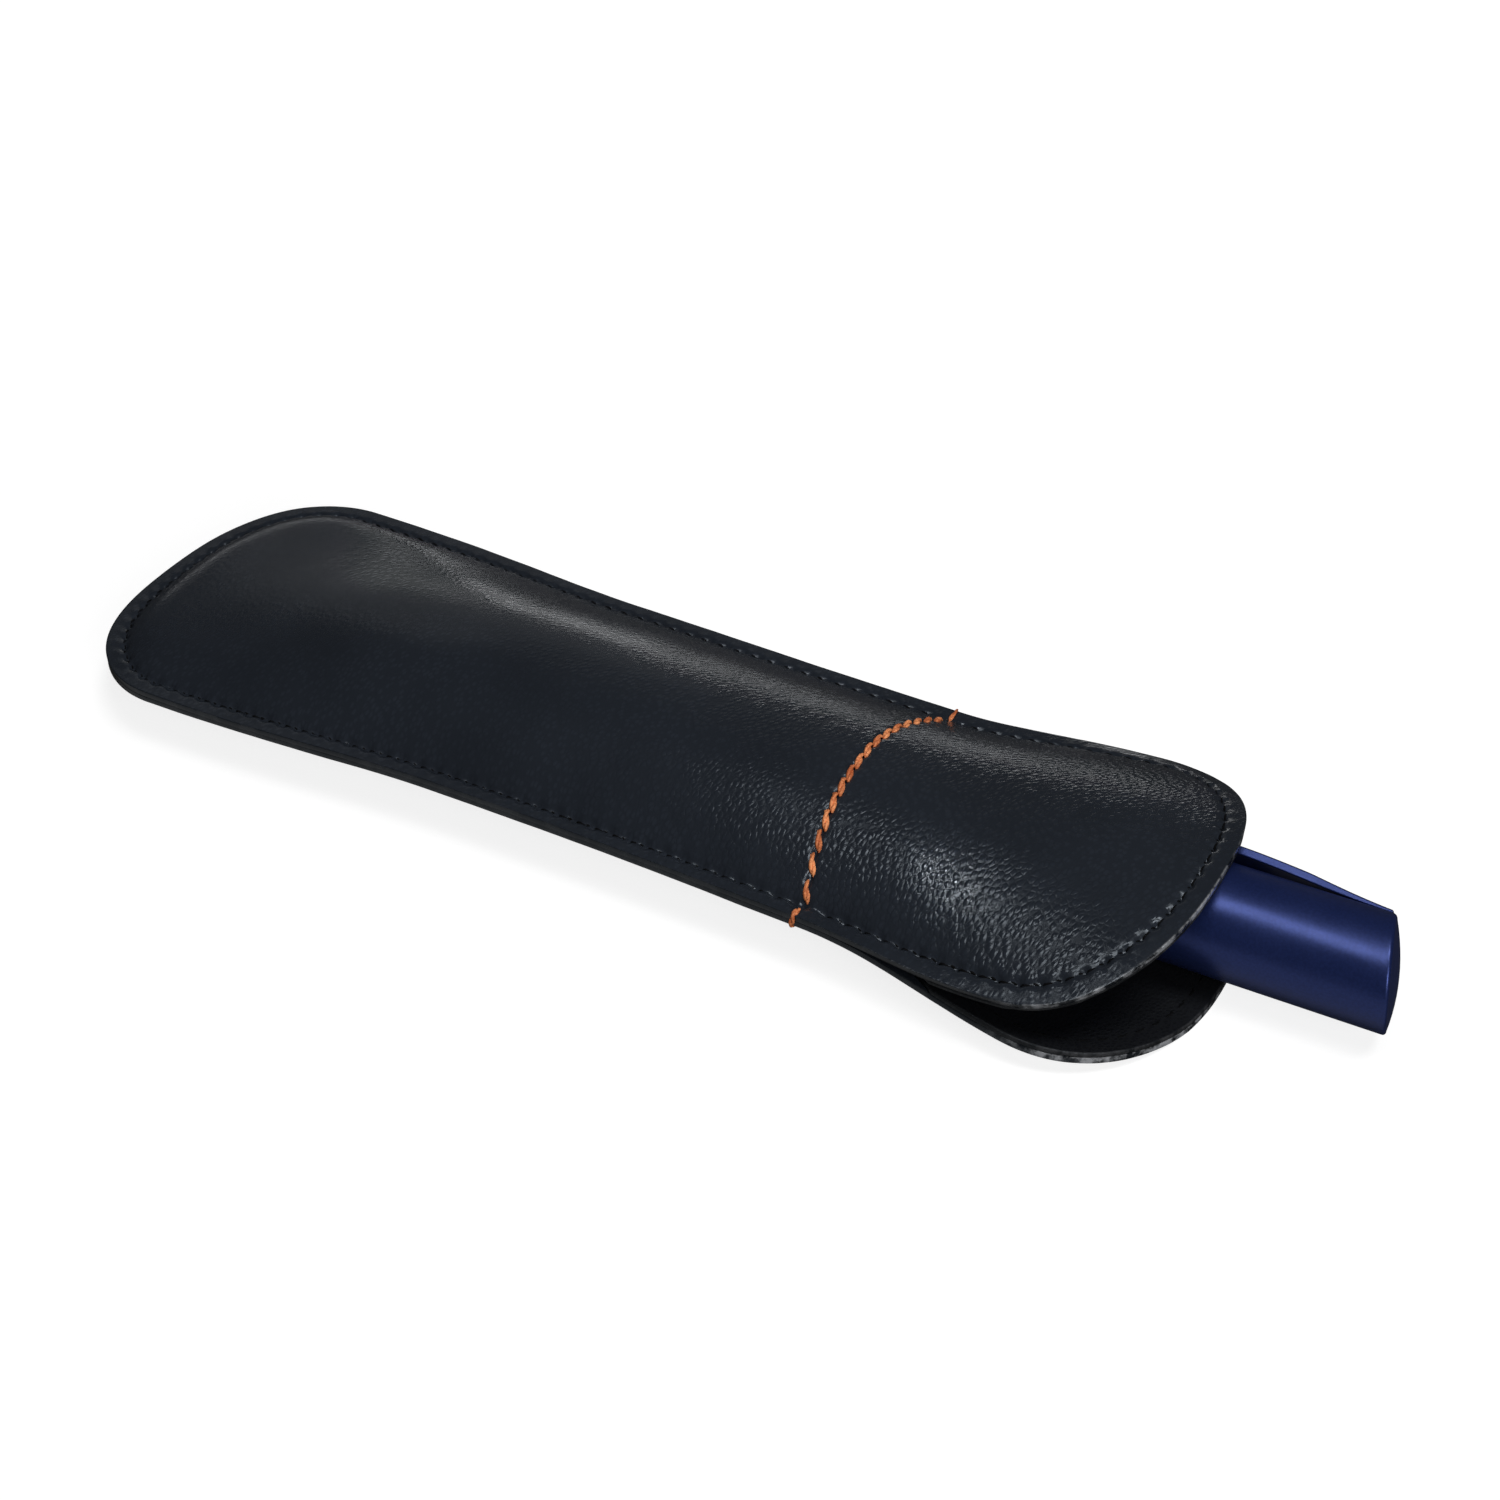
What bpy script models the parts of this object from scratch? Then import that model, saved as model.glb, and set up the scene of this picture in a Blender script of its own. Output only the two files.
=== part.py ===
"""Slim leather case for an insulin pen, with the pen in it.

Two leather panels are cut to one long outline and sewn together along both sides and round the
closed end. Past a contrast seam across the mouth they part into a front and a back tongue, each
with a leather facing, and the pen's cap shows between the tongues.

Leather is worked out as it is made. A flat piece is cut to its outline, scored across and along,
laid over the pen by a form function and given its thickness. Flat coordinates are u, the distance
from the closed end towards the mouth, and v, the distance from the middle line, plus to the far
side. The world's origin is the centre of the flat underside, +X points out of the mouth and +Z up.
"""

import math

import bmesh
import bpy
from mathutils import Matrix, Vector

MM = 0.001

# Clearances
GAP = 0.3 * MM
RUNNING_GAP = 0.3 * MM

# Pen, measured along its axis from the rear end
CAP_RADIUS = 8.0 * MM
CAP_WALL = 0.9 * MM
CAP_LENGTH = 71.7 * MM
CAP_SLANT = 4.2 * MM
CAP_EDGE = 0.6 * MM
CAP_CROWN = 0.5 * MM
RIM_BREAK = 0.3 * MM
BARREL_LENGTH = 75.5 * MM
BARREL_STEP = 0.2 * MM
BARREL_WALL = 1.3 * MM
SELECTOR_RADIUS = 7.0 * MM
SELECTOR_LENGTH = 14.0 * MM
SELECTOR_TAPER = 0.8 * MM
RIB_COUNT = 22
RIB_DEPTH = 0.45 * MM
SELECTOR_NOSE = 3.5 * MM
SELECTOR_COLLAR = 1.6 * MM
BUTTON_RADIUS = 4.9 * MM
BUTTON_PROUD = 3.5 * MM
BUTTON_TRAVEL = 2.0 * MM
BUTTON_DEPTH = 6.0 * MM
BUTTON_DISH = 0.5 * MM
STEM_RADIUS = 2.4 * MM
STEM_LENGTH = 9.0 * MM
SPIGOT_LENGTH = 6.0 * MM
DRUM_LENGTH = 40.0 * MM
DRUM_WALL = 0.8 * MM
WINDOW_LENGTH = 9.0 * MM
WINDOW_WIDTH = 5.0 * MM
WINDOW_INSET = 9.0 * MM
LENS_THICKNESS = 0.9 * MM
LENS_RECESS = 0.15 * MM
CARTRIDGE_RADIUS = 5.8 * MM
CARTRIDGE_WALL = 0.95 * MM
CARTRIDGE_LENGTH = 64.0 * MM
CARTRIDGE_NECK = 8.0 * MM
CARTRIDGE_STOP = 2.0 * MM
SHOULDER_LENGTH = 2.0 * MM
NECK_STEP = 0.7 * MM
CRIMP_RADIUS = 3.9 * MM
CRIMP_LENGTH = 5.0 * MM
SEPTUM_RADIUS = 1.6 * MM
HOLDER_WALL = 0.7 * MM
HOLDER_SEAT = 7.0 * MM
HOLDER_TIP_LENGTH = 1.5 * MM
SLOT_LENGTH = 36.0 * MM
SLOT_WIDTH = 3.6 * MM
SLOT_INSET = 9.0 * MM
NUT_LENGTH = 6.0 * MM
ROD_RADIUS = 2.0 * MM
ROD_LENGTH = 60.0 * MM
FOOT_THICKNESS = 1.5 * MM
STOPPER_LENGTH = 6.0 * MM
STOPPER_START = 9.8 * MM
STOPPER_GROOVE = 0.5 * MM
CLIP_LENGTH = 42.0 * MM
CLIP_WIDTH = 4.6 * MM
CLIP_THICKNESS = 1.2 * MM
CLIP_LIFT = 1.2 * MM
CLIP_ROOT = 0.35 * MM
CLIP_TAPER = 12.0 * MM
CLIP_PEAK = 25.0 * MM
CLIP_HEEL = 3.0 * MM
CLIP_ANGLE = math.radians(60.0)
PEN_YAW = math.radians(1.2)
PEN_OFFSET = -2.1 * MM

# Leather case
LEATHER = 0.7 * MM
FACING = 0.5 * MM
SEAM_MARGIN = 3.2 * MM
SIDE_ROOM = 18.6 * MM
POCKET_SPARE = 44.0 * MM
CAP_SHOWING = 23.2 * MM
TONGUE_LENGTH = 53.9 * MM
END_ROUND = 20.1 * MM
END_FULLNESS = 2.6
TIP_ROUND = 22.0 * MM
TIP_FULLNESS = 2.25
END_STEPS = 10
RIDGE_LEAD = 29.7 * MM
CREST_DRAW = 2.6 * MM
SEAM_DROP = 0.9 * MM
SEAM_ARCH = 0.6 * MM
NEAR_FULLNESS = 2.6
FAR_FULLNESS = 1.7
BELLY_FULLNESS = 2.2
TONGUE_FULLNESS = 2.0
BELLY_PRESS = 0.5 * MM
PUFF = 1.8 * MM
PUFF_RISE = 2.5 * MM
EDGE_SWAY = 0.4 * MM
TONGUE_SWELL = 2.2 * MM
LIFT_NEAR = 3.0 * MM
LIFT_FAR = 2.4 * MM
DIP_NEAR = 0.8 * MM
DIP_FAR = 0.45 * MM
BACK_TIP_EDGE = 3.1 * MM
BACK_FALL_EARLY = 8.0 * MM
BACK_DIP = 0.6 * MM
FACING_ROOT = 2.5 * MM
FACING_ROOT_INSET = 1.6 * MM
FACING_HOLD = 3.0 * MM
FACING_RUN = 18.0 * MM

# Thread
STITCH_INSET = 2.3 * MM
STITCH_STEP = 4.5 * MM
THREAD_RADIUS = 0.22 * MM
CONTRAST_RADIUS = 0.33 * MM
SEAM_END = 2.0 * MM

# Pen stations, from its rear end
BUTTON_FRONT = BUTTON_PROUD + BUTTON_DEPTH
SELECTOR_REAR = BUTTON_PROUD
SELECTOR_FRONT = SELECTOR_REAR + SELECTOR_LENGTH
BARREL_REAR = SELECTOR_FRONT + RUNNING_GAP
BARREL_FRONT = BARREL_REAR + BARREL_LENGTH
CAP_REAR = BARREL_FRONT + GAP
PEN_LENGTH = CAP_REAR + CAP_LENGTH
HOLDER_REAR = BARREL_FRONT - HOLDER_SEAT
CARTRIDGE_REAR = HOLDER_REAR + CARTRIDGE_STOP
CARTRIDGE_FRONT = CARTRIDGE_REAR + CARTRIDGE_LENGTH
HOLDER_FRONT = CARTRIDGE_FRONT + HOLDER_TIP_LENGTH
NUT_FRONT = HOLDER_REAR - GAP
FOOT_REAR = CARTRIDGE_REAR + STOPPER_START - FOOT_THICKNESS - GAP

# Pen radii
BARREL_RADIUS = CAP_RADIUS - BARREL_STEP
BORE_RADIUS = BARREL_RADIUS - BARREL_WALL
CAP_BORE = CAP_RADIUS - CAP_WALL
HOLDER_BORE = CARTRIDGE_RADIUS + GAP
HOLDER_RADIUS = HOLDER_BORE + HOLDER_WALL
DRUM_RADIUS = BORE_RADIUS - RUNNING_GAP
DRUM_BORE = DRUM_RADIUS - DRUM_WALL
CARTRIDGE_BORE = CARTRIDGE_RADIUS - CARTRIDGE_WALL
NECK_RADIUS = CRIMP_RADIUS - NECK_STEP

# Case stations, from the closed end, and heights above the table
PEN_REAR = POCKET_SPARE
PEN_FRONT = PEN_REAR + PEN_LENGTH
TIP_X = PEN_FRONT - CAP_SHOWING
STITCH_X = TIP_X - TONGUE_LENGTH
RIDGE_RAMP = PEN_REAR + RIDGE_LEAD
REST_X = 0.5 * (RIDGE_RAMP + STITCH_X)
HALF_WIDTH = CAP_RADIUS + SIDE_ROOM + SEAM_MARGIN
ARCH_HALF = HALF_WIDTH - SEAM_MARGIN
TONGUE_STACK = LEATHER + GAP + FACING
AXIS_HEIGHT = TONGUE_STACK + GAP + 2.0 * THREAD_RADIUS + GAP + CAP_RADIUS
CREST = AXIS_HEIGHT + CAP_RADIUS + GAP + TONGUE_STACK
SEAM_HEIGHT = AXIS_HEIGHT - SEAM_DROP

BLACK_LEATHER = (0.012, 0.013, 0.016)
FACING_LEATHER = (0.010, 0.010, 0.012)
BLACK_THREAD = (0.006, 0.006, 0.007)
ORANGE_THREAD = (0.72, 0.20, 0.05)
NAVY_METAL = (0.018, 0.030, 0.155)
DARK_PLASTIC = (0.02, 0.02, 0.025)
CLEAR_PLASTIC = (0.80, 0.84, 0.86)
WHITE_PLASTIC = (0.78, 0.78, 0.76)
STEEL = (0.62, 0.63, 0.65)
RUBBER = (0.10, 0.10, 0.11)
BUTTON_GREY = (0.45, 0.46, 0.48)


def clear_scene():
    """Remove every object that the new file starts with."""
    for old in list(bpy.data.objects):
        bpy.data.objects.remove(old)


def material(name, color, roughness, metallic=0.0, alpha=1.0):
    """A plain Principled material."""
    made = bpy.data.materials.new(name)
    made.use_nodes = True
    shader = made.node_tree.nodes["Principled BSDF"]
    shader.inputs["Base Color"].default_value = (*color, 1.0)
    shader.inputs["Roughness"].default_value = roughness
    shader.inputs["Metallic"].default_value = metallic
    shader.inputs["Alpha"].default_value = alpha
    return made


def add_object(name, data, surface, parent):
    """Link an object under its parent and give it its material."""
    made = bpy.data.objects.new(name, data)
    bpy.context.collection.objects.link(made)
    made.data.materials.append(surface)
    made.parent = parent
    return made


def add_empty(name, location, parent=None, yaw=0.0):
    """A named datum that pieces hang from."""
    made = bpy.data.objects.new(name, None)
    bpy.context.collection.objects.link(made)
    made.parent = parent
    made.location = location
    made.rotation_euler = (0.0, 0.0, yaw)
    return made


def mesh_from(bm, name, smooth_angle=None):
    """Store a bmesh as a mesh, shaded smooth below the given edge angle."""
    mesh = bpy.data.meshes.new(name)
    bm.to_mesh(mesh)
    bm.free()
    if smooth_angle is not None:
        mesh.shade_smooth()
        mesh.set_sharp_from_angle(angle=math.radians(smooth_angle))
    return mesh


def ease(t):
    """0 to 1 with level ends."""
    t = min(max(t, 0.0), 1.0)
    return t * t * (3.0 - 2.0 * t)


def mix(a, b, t):
    """Straight blend from a to b."""
    return a + (b - a) * t


def seam_plane(u):
    """Height of the plane between the two panels along the body."""
    return SEAM_HEIGHT + SEAM_ARCH * math.sin(math.pi * min(max(u / STITCH_X, 0.0), 1.0))


def rounded_end(length, half_width, fullness, steps):
    """Quarter outline of a rounded end, from its middle to its side."""
    points = []
    for k in range(steps + 1):
        angle = 0.5 * math.pi * k / steps
        across = half_width * math.sin(angle) ** (2.0 / fullness)
        points.append((length * (1.0 - math.cos(angle)), across))
    return points


CLOSED_EDGE = rounded_end(END_ROUND, HALF_WIDTH, END_FULLNESS, END_STEPS)
TIP_EDGE = rounded_end(TIP_ROUND, HALF_WIDTH, TIP_FULLNESS, END_STEPS)


def seam_distance(u, v):
    """How far a point lies inside the seam line round the pocket."""
    point = Vector((u, abs(v)))
    nearest = HALF_WIDTH
    edge = CLOSED_EDGE + [(STITCH_X, HALF_WIDTH)]
    for start, end in zip(edge, edge[1:]):
        a, b = Vector(start), Vector(end)
        share = min(max((point - a).dot(b - a) / (b - a).length_squared, 0.0), 1.0)
        nearest = min(nearest, (point - a.lerp(b, share)).length)
    return max(nearest - SEAM_MARGIN, 0.0)


def ridge(u):
    """Share of its full height that the leather has reached over the pen."""
    return ease(u / RIDGE_RAMP)


def puff(u, v):
    """Fullness of the empty end of the pocket, beyond the pen."""
    return PUFF * (1.0 - ridge(u)) * (1.0 - math.exp(-seam_distance(u, v) / PUFF_RISE))


def drawn_half(lift, opened):
    """Half width that is left between the seams when the leather arches up by lift."""
    flat = HALF_WIDTH - SEAM_MARGIN * (1.0 - opened)
    return flat - lift * lift / (1.5 * flat)


def spread(u, v, lift, opened, swell):
    """Sideways place of a flat point once its panel is arched."""
    half = drawn_half(lift, opened) + SEAM_MARGIN * (1.0 - opened) + swell
    sway = EDGE_SWAY * math.sin(2.0 * math.pi * min(u / STITCH_X, 1.0))
    return v * (half + sway) / HALF_WIDTH


def arch(v, fullness, opened):
    """Cross section of an arched panel: 1 on the middle line, 0 at the seam or at a tongue's edge."""
    sewn = 1.0 - min(abs(v) / ARCH_HALF, 1.0) ** fullness
    free = 1.0 - min(abs(v) / HALF_WIDTH, 1.0) ** TONGUE_FULLNESS
    return mix(sewn, free, opened)


def front_surface(u, v):
    """Outer face of the front panel and its tongue."""
    opened = ease((u - STITCH_X) / TONGUE_LENGTH)
    middle = 4.0 * opened * (1.0 - opened)
    side = (LIFT_FAR, DIP_FAR, FAR_FULLNESS) if v > 0.0 else (LIFT_NEAR, DIP_NEAR, NEAR_FULLNESS)
    lift, dip, fullness = side
    plane = seam_plane(u) + lift * opened - dip * middle
    edge = plane + 0.5 * GAP + LEATHER
    shape = arch(v, fullness, opened)
    height = edge + (CREST - edge) * ridge(u) * shape + puff(u, v)
    across = spread(u, v, (CREST - plane) * ridge(u), opened, TONGUE_SWELL * middle)
    return Vector((u - CREST_DRAW * shape * ridge(u), across, height))


def back_surface(u, v):
    """Outer face of the back panel and its tongue, flat where it lies on the table."""
    opened = ease((u - STITCH_X) / (TONGUE_LENGTH - BACK_FALL_EARLY))
    middle = 4.0 * opened * (1.0 - opened)
    root = seam_plane(u) - 0.5 * GAP - LEATHER
    edge = mix(root, BACK_TIP_EDGE, opened) - BACK_DIP * middle
    shape = arch(v, BELLY_FULLNESS, opened)
    height = edge - (edge + BELLY_PRESS) * ridge(u) * shape - puff(u, v)
    lift = mix((CREST - seam_plane(u)) * ridge(u), edge, opened)
    return Vector((u, spread(u, v, lift, opened, 0.0), max(height, 0.0)))


def inward(surface, u, v, depth):
    """Point that lies the given depth under a form's outer face, square to it."""
    step = 0.05 * MM
    along = surface(u + step, v) - surface(u - step, v)
    across = surface(u, v + step) - surface(u, v - step)
    normal = along.cross(across).normalized()
    if surface is back_surface:
        normal.negate()
    return surface(u, v) - normal * depth


def mirrored(far_side):
    """Close an outline whose far half runs from the closed end to the tip."""
    near_side = [(u, -v) for u, v in reversed(far_side)]
    if far_side[-1][1] == 0.0:
        near_side = near_side[1:]
    if far_side[0][1] == 0.0:
        near_side = near_side[:-1]
    return near_side + far_side


def panel_outline():
    """Flat outline that the front and the back panel share."""
    return mirrored(CLOSED_EDGE + [(TIP_X - d, v) for d, v in reversed(TIP_EDGE)])


def facing_outline():
    """Flat outline of a facing: narrow at its root, where it clears the side seams."""
    root = STITCH_X - FACING_ROOT
    narrow = ARCH_HALF - FACING_ROOT_INSET
    far_side = []
    for k in range(7):
        share = k / 6
        u = STITCH_X + FACING_HOLD + FACING_RUN * share
        far_side.append((u, mix(narrow, HALF_WIDTH, share * share)))
    tip = [(TIP_X - d, v) for d, v in reversed(TIP_EDGE)]
    return mirrored([(root, narrow)] + far_side + tip)


def length_cuts():
    """Score lines across the leather: close together where its form changes along the case."""
    ramp = [RIDGE_RAMP * share for share in (0.07, 0.14, 0.24, 0.34, 0.45, 0.56, 0.67, 0.78, 0.89, 1.0)]
    body = [mix(RIDGE_RAMP, STITCH_X, share) for share in (0.33, 0.67)]
    tongue = [STITCH_X + TONGUE_LENGTH * k / 9 for k in range(9)]
    return ramp + body + tongue


def width_cuts():
    """Score lines along the leather, the same on both sides of the middle line."""
    shares = (0.15, 0.3, 0.45, 0.6, 0.75, 0.88, 1.0)
    return [0.0] + [side * share * ARCH_HALF for share in shares for side in (-1.0, 1.0)]


def scored_blank(outline, seam_margin=0.0):
    """Flat leather cut to an outline, with its seam line inset and its score lines cut in."""
    bm = bmesh.new()
    face = bm.faces.new([bm.verts.new((u, v, 0.0)) for u, v in outline])
    face.normal_update()
    if face.normal.z < 0.0:
        face.normal_flip()
    if seam_margin > 0.0:
        bmesh.ops.inset_region(bm, faces=[face], thickness=seam_margin, use_boundary=True,
                               use_even_offset=True)
    for u in length_cuts():
        cut = bm.verts[:] + bm.edges[:] + bm.faces[:]
        bmesh.ops.bisect_plane(bm, geom=cut, dist=0.02 * MM, plane_co=(u, 0, 0), plane_no=(1, 0, 0))
    for v in width_cuts():
        cut = bm.verts[:] + bm.edges[:] + bm.faces[:]
        bmesh.ops.bisect_plane(bm, geom=cut, dist=0.02 * MM, plane_co=(0, v, 0), plane_no=(0, 1, 0))
    bmesh.ops.triangulate(bm, faces=[f for f in bm.faces if len(f.verts) > 4])
    return bm


def leather_piece(name, outline, surface, depth, thickness, finish, parent, seam_margin=0.0):
    """Lay a blank over the pen, the given depth under a form's outer face, and thicken it inwards."""
    bm = scored_blank(outline, seam_margin)
    for vert in bm.verts:
        u, v = vert.co.x, vert.co.y
        vert.co = inward(surface, u, v, depth) if depth > 0.0 else surface(u, v)
    bmesh.ops.recalc_face_normals(bm, faces=bm.faces[:])
    bm.normal_update()
    upright = sum(f.normal.z * f.calc_area() for f in bm.faces)
    if (upright > 0.0) != (surface is front_surface):
        bmesh.ops.reverse_faces(bm, faces=bm.faces[:])
    piece = add_object(name, mesh_from(bm, name, 60.0), finish, parent)
    wall = piece.modifiers.new("leather thickness", "SOLIDIFY")
    wall.thickness = thickness
    wall.offset = -1.0
    wall.use_even_offset = True
    return piece


def thread(name, points, radius, finish, parent):
    """A length of sewing thread through the given points."""
    curve = bpy.data.curves.new(name, "CURVE")
    curve.dimensions = "3D"
    curve.bevel_depth = radius
    curve.bevel_resolution = 0
    curve.use_fill_caps = True
    spline = curve.splines.new("POLY")
    spline.points.add(len(points) - 1)
    for slot, point in zip(spline.points, points):
        slot.co = (*point, 1.0)
    return add_object(name, curve, finish, parent)


def evenly(points, step):
    """Points along a flat path, close to a step apart."""
    lengths = [math.dist(a, b) for a, b in zip(points, points[1:])]
    total = sum(lengths)
    count = max(int(round(total / step)), 2)
    placed = []
    for k in range(count + 1):
        target = total * k / count
        i = 0
        while i < len(lengths) - 1 and target > lengths[i]:
            target -= lengths[i]
            i += 1
        share = min(target / lengths[i], 1.0)
        placed.append(tuple(mix(a, b, share) for a, b in zip(points[i], points[i + 1])))
    return placed


def inset_end(length, fullness, inset):
    """Rounded end, from its middle to its side, moved square to itself by an inset."""
    edge = rounded_end(length, HALF_WIDTH, fullness, 16)
    moved = [(inset, 0.0)]
    for (d0, v0), (d1, v1), (d2, v2) in zip(edge, edge[1:], edge[2:]):
        run = math.hypot(d2 - d0, v2 - v0)
        moved.append((d1 + inset * (v2 - v0) / run, v1 - inset * (d2 - d0) / run))
    return moved + [(length, HALF_WIDTH - inset)]


def closing_path():
    """Flat path of the seam that closes the sides and the rounded end."""
    far_side = inset_end(END_ROUND, END_FULLNESS, STITCH_INSET)
    far_side.append((STITCH_X - SEAM_END, HALF_WIDTH - STITCH_INSET))
    return [(u, -v) for u, v in reversed(far_side[1:])] + far_side


def tongue_path(start):
    """Flat path of the seam that holds a facing to its tongue, from start round the tip and back."""
    far_side = [(TIP_X - d, v) for d, v in inset_end(TIP_ROUND, TIP_FULLNESS, STITCH_INSET)]
    far_side.append((start, HALF_WIDTH - STITCH_INSET))
    return [(u, -v) for u, v in reversed(far_side[1:])] + far_side


def laid_thread(name, surface, depth, path, finish, parent, radius=THREAD_RADIUS, step=STITCH_STEP):
    """Thread along a flat path, lying on the face at the given depth: 0 outside, more inside."""
    sink = -(radius + GAP) if depth == 0.0 else depth + radius + GAP
    points = [inward(surface, u, v, sink) for u, v in evenly(path, step)]
    return thread(name, points, radius, finish, parent)


def edge_tack(name, side, finish, parent):
    """Bar tack over the case's edge, where the side seam ends."""
    off = CONTRAST_RADIUS + GAP
    reach = [HALF_WIDTH - STITCH_INSET * share for share in (0.9, 0.45, 0.0)]
    over = [inward(front_surface, STITCH_X, side * v, -off) for v in reach]
    under = [inward(back_surface, STITCH_X, side * v, -off) for v in reversed(reach)]
    rim = max(abs(over[-1].y), abs(under[0].y)) + off
    top = Vector((over[-1].x, side * rim, over[-1].z - off))
    bottom = Vector((under[0].x, side * rim, under[0].z + off))
    return thread(name, over + [top, bottom] + under, CONTRAST_RADIUS, finish, parent)


def build_case(case):
    """The two panels, the facings and the threads that hold them."""
    outer = material("black_leather", BLACK_LEATHER, 0.45)
    inner = material("facing_leather", FACING_LEATHER, 0.6)
    black = material("black_thread", BLACK_THREAD, 0.7)
    orange = material("orange_thread", ORANGE_THREAD, 0.6)
    under = LEATHER + GAP
    leather_piece("front_panel", panel_outline(), front_surface, 0.0, LEATHER, outer, case, SEAM_MARGIN)
    leather_piece("back_panel", panel_outline(), back_surface, 0.0, LEATHER, outer, case, SEAM_MARGIN)
    leather_piece("front_facing", facing_outline(), front_surface, under, FACING, inner, case)
    leather_piece("back_facing", facing_outline(), back_surface, under, FACING, inner, case)

    closing = closing_path()
    outside = tongue_path(STITCH_X + SEAM_END)
    inside = tongue_path(STITCH_X + FACING_HOLD + FACING_RUN)
    across = ARCH_HALF - SEAM_END
    cross = [(STITCH_X, -across), (STITCH_X, across)]
    laid_thread("closing_thread_front", front_surface, 0.0, closing, black, case)
    laid_thread("closing_thread_back", back_surface, 0.0, closing, black, case)
    laid_thread("front_tongue_thread", front_surface, 0.0, outside, black, case)
    laid_thread("back_tongue_thread", back_surface, TONGUE_STACK, inside, black, case)
    half_step = 0.5 * STITCH_STEP
    laid_thread("cross_stitch", front_surface, 0.0, cross, orange, case, CONTRAST_RADIUS, half_step)
    edge_tack("near_edge_tack", -1.0, orange, case)
    edge_tack("far_edge_tack", 1.0, orange, case)


def revolve(profile, sides):
    """Turn a profile of (distance along, radius) points about the pen's axis into a closed body."""
    bm = bmesh.new()
    verts = [bm.verts.new((x, 0.0, r)) for x, r in profile]
    edges = [bm.edges.new(pair) for pair in zip(verts, verts[1:])]
    if profile[0][1] > 0.0:
        edges.append(bm.edges.new((verts[-1], verts[0])))
    turn = 2.0 * math.pi
    bmesh.ops.spin(bm, geom=verts + edges, cent=(0, 0, 0), axis=(1, 0, 0), angle=turn, steps=sides,
                   use_merge=True)
    bmesh.ops.remove_doubles(bm, verts=bm.verts[:], dist=0.001 * MM)
    bmesh.ops.recalc_face_normals(bm, faces=bm.faces[:])
    return bm


def turned(name, profile, sides, finish, parent):
    """A turned pen piece."""
    return add_object(name, mesh_from(revolve(profile, sides), name, 35.0), finish, parent)


def cutter(name, size, location, parent):
    """A hidden box for a Boolean cut."""
    bm = bmesh.new()
    bmesh.ops.create_cube(bm, size=1.0)
    bmesh.ops.scale(bm, vec=size, verts=bm.verts[:])
    box = bpy.data.objects.new(name, mesh_from(bm, name))
    bpy.context.collection.objects.link(box)
    box.parent = parent
    box.location = location
    box.hide_render = True
    box.display_type = "WIRE"
    return box


def boolean(piece, tool, operation):
    """Cut a piece with a tool, or keep only what both share."""
    step = piece.modifiers.new(tool.name, "BOOLEAN")
    step.operation = operation
    step.solver = "EXACT"
    step.object = tool


def build_cap(pen, navy):
    """Turned cap with a slanted, slightly crowned end."""
    front = PEN_LENGTH
    bend = front - 2.0 * CAP_SLANT
    profile = [
        (front + CAP_CROWN, 0.0),
        (front + 0.7 * CAP_CROWN, 0.55 * CAP_RADIUS),
        (front, CAP_RADIUS - CAP_EDGE),
        (front - 0.3 * CAP_EDGE, CAP_RADIUS - 0.3 * CAP_EDGE),
        (front - CAP_EDGE, CAP_RADIUS),
        (bend, CAP_RADIUS),
        (CAP_REAR + RIM_BREAK, CAP_RADIUS),
        (CAP_REAR, CAP_RADIUS - RIM_BREAK),
        (CAP_REAR, CAP_BORE),
        (bend, CAP_BORE),
        (front - CAP_WALL, CAP_BORE),
        (front + CAP_CROWN - CAP_WALL, 0.0),
    ]
    bm = revolve(profile, 32)
    across = Vector((0.0, math.sin(CLIP_ANGLE), math.cos(CLIP_ANGLE)))
    for vert in bm.verts:
        if vert.co.x > bend + CAP_EDGE:
            vert.co.x -= 0.5 * CAP_SLANT * (1.0 + vert.co.dot(across) / CAP_RADIUS)
    add_object("pen_cap", mesh_from(bm, "pen_cap", 35.0), navy, pen)


def clip_section(back):
    """Height of the clip's inner and outer face above the cap, this far back from its root."""
    bow = math.sin(0.5 * math.pi * min(back / CLIP_PEAK, 1.0))
    fall = ease((back - CLIP_PEAK) / (CLIP_LENGTH - CLIP_PEAK))
    thickness = mix(CLIP_ROOT, CLIP_THICKNESS, min(back / CLIP_TAPER, 1.0))
    inner = GAP + CLIP_LIFT * bow * bow * (1.0 - 0.75 * fall)
    return inner, inner + thickness


def build_clip(pen, navy):
    """Spring clip: thin and flush at the cap's end, bowed out, and back to the cap at its tip."""
    steps = 14
    root = PEN_LENGTH - CAP_SLANT - CAP_EDGE
    inner_line, outer_line = [], []
    for k in range(steps + 1):
        back = CLIP_LENGTH * k / steps
        inner, outer = clip_section(back)
        inner_line.append((root - back, CAP_RADIUS + inner))
        outer_line.append((root - back, CAP_RADIUS + outer))
    heel_x = root - CLIP_LENGTH + CLIP_HEEL
    inner_line[-2] = (heel_x, CAP_RADIUS + GAP)
    bm = bmesh.new()
    section = [bm.verts.new((x, -0.5 * CLIP_WIDTH, r)) for x, r in inner_line + outer_line[::-1]]
    side = bm.faces.new(section)
    swept = bmesh.ops.extrude_face_region(bm, geom=[side])["geom"]
    moved = [item for item in swept if isinstance(item, bmesh.types.BMVert)]
    bmesh.ops.translate(bm, vec=(0.0, CLIP_WIDTH, 0.0), verts=moved)
    bmesh.ops.recalc_face_normals(bm, faces=bm.faces[:])
    bmesh.ops.rotate(bm, cent=(0, 0, 0), matrix=Matrix.Rotation(-CLIP_ANGLE, 3, "X"), verts=bm.verts[:])
    add_object("cap_clip", mesh_from(bm, "cap_clip", 30.0), navy, pen)


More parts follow.
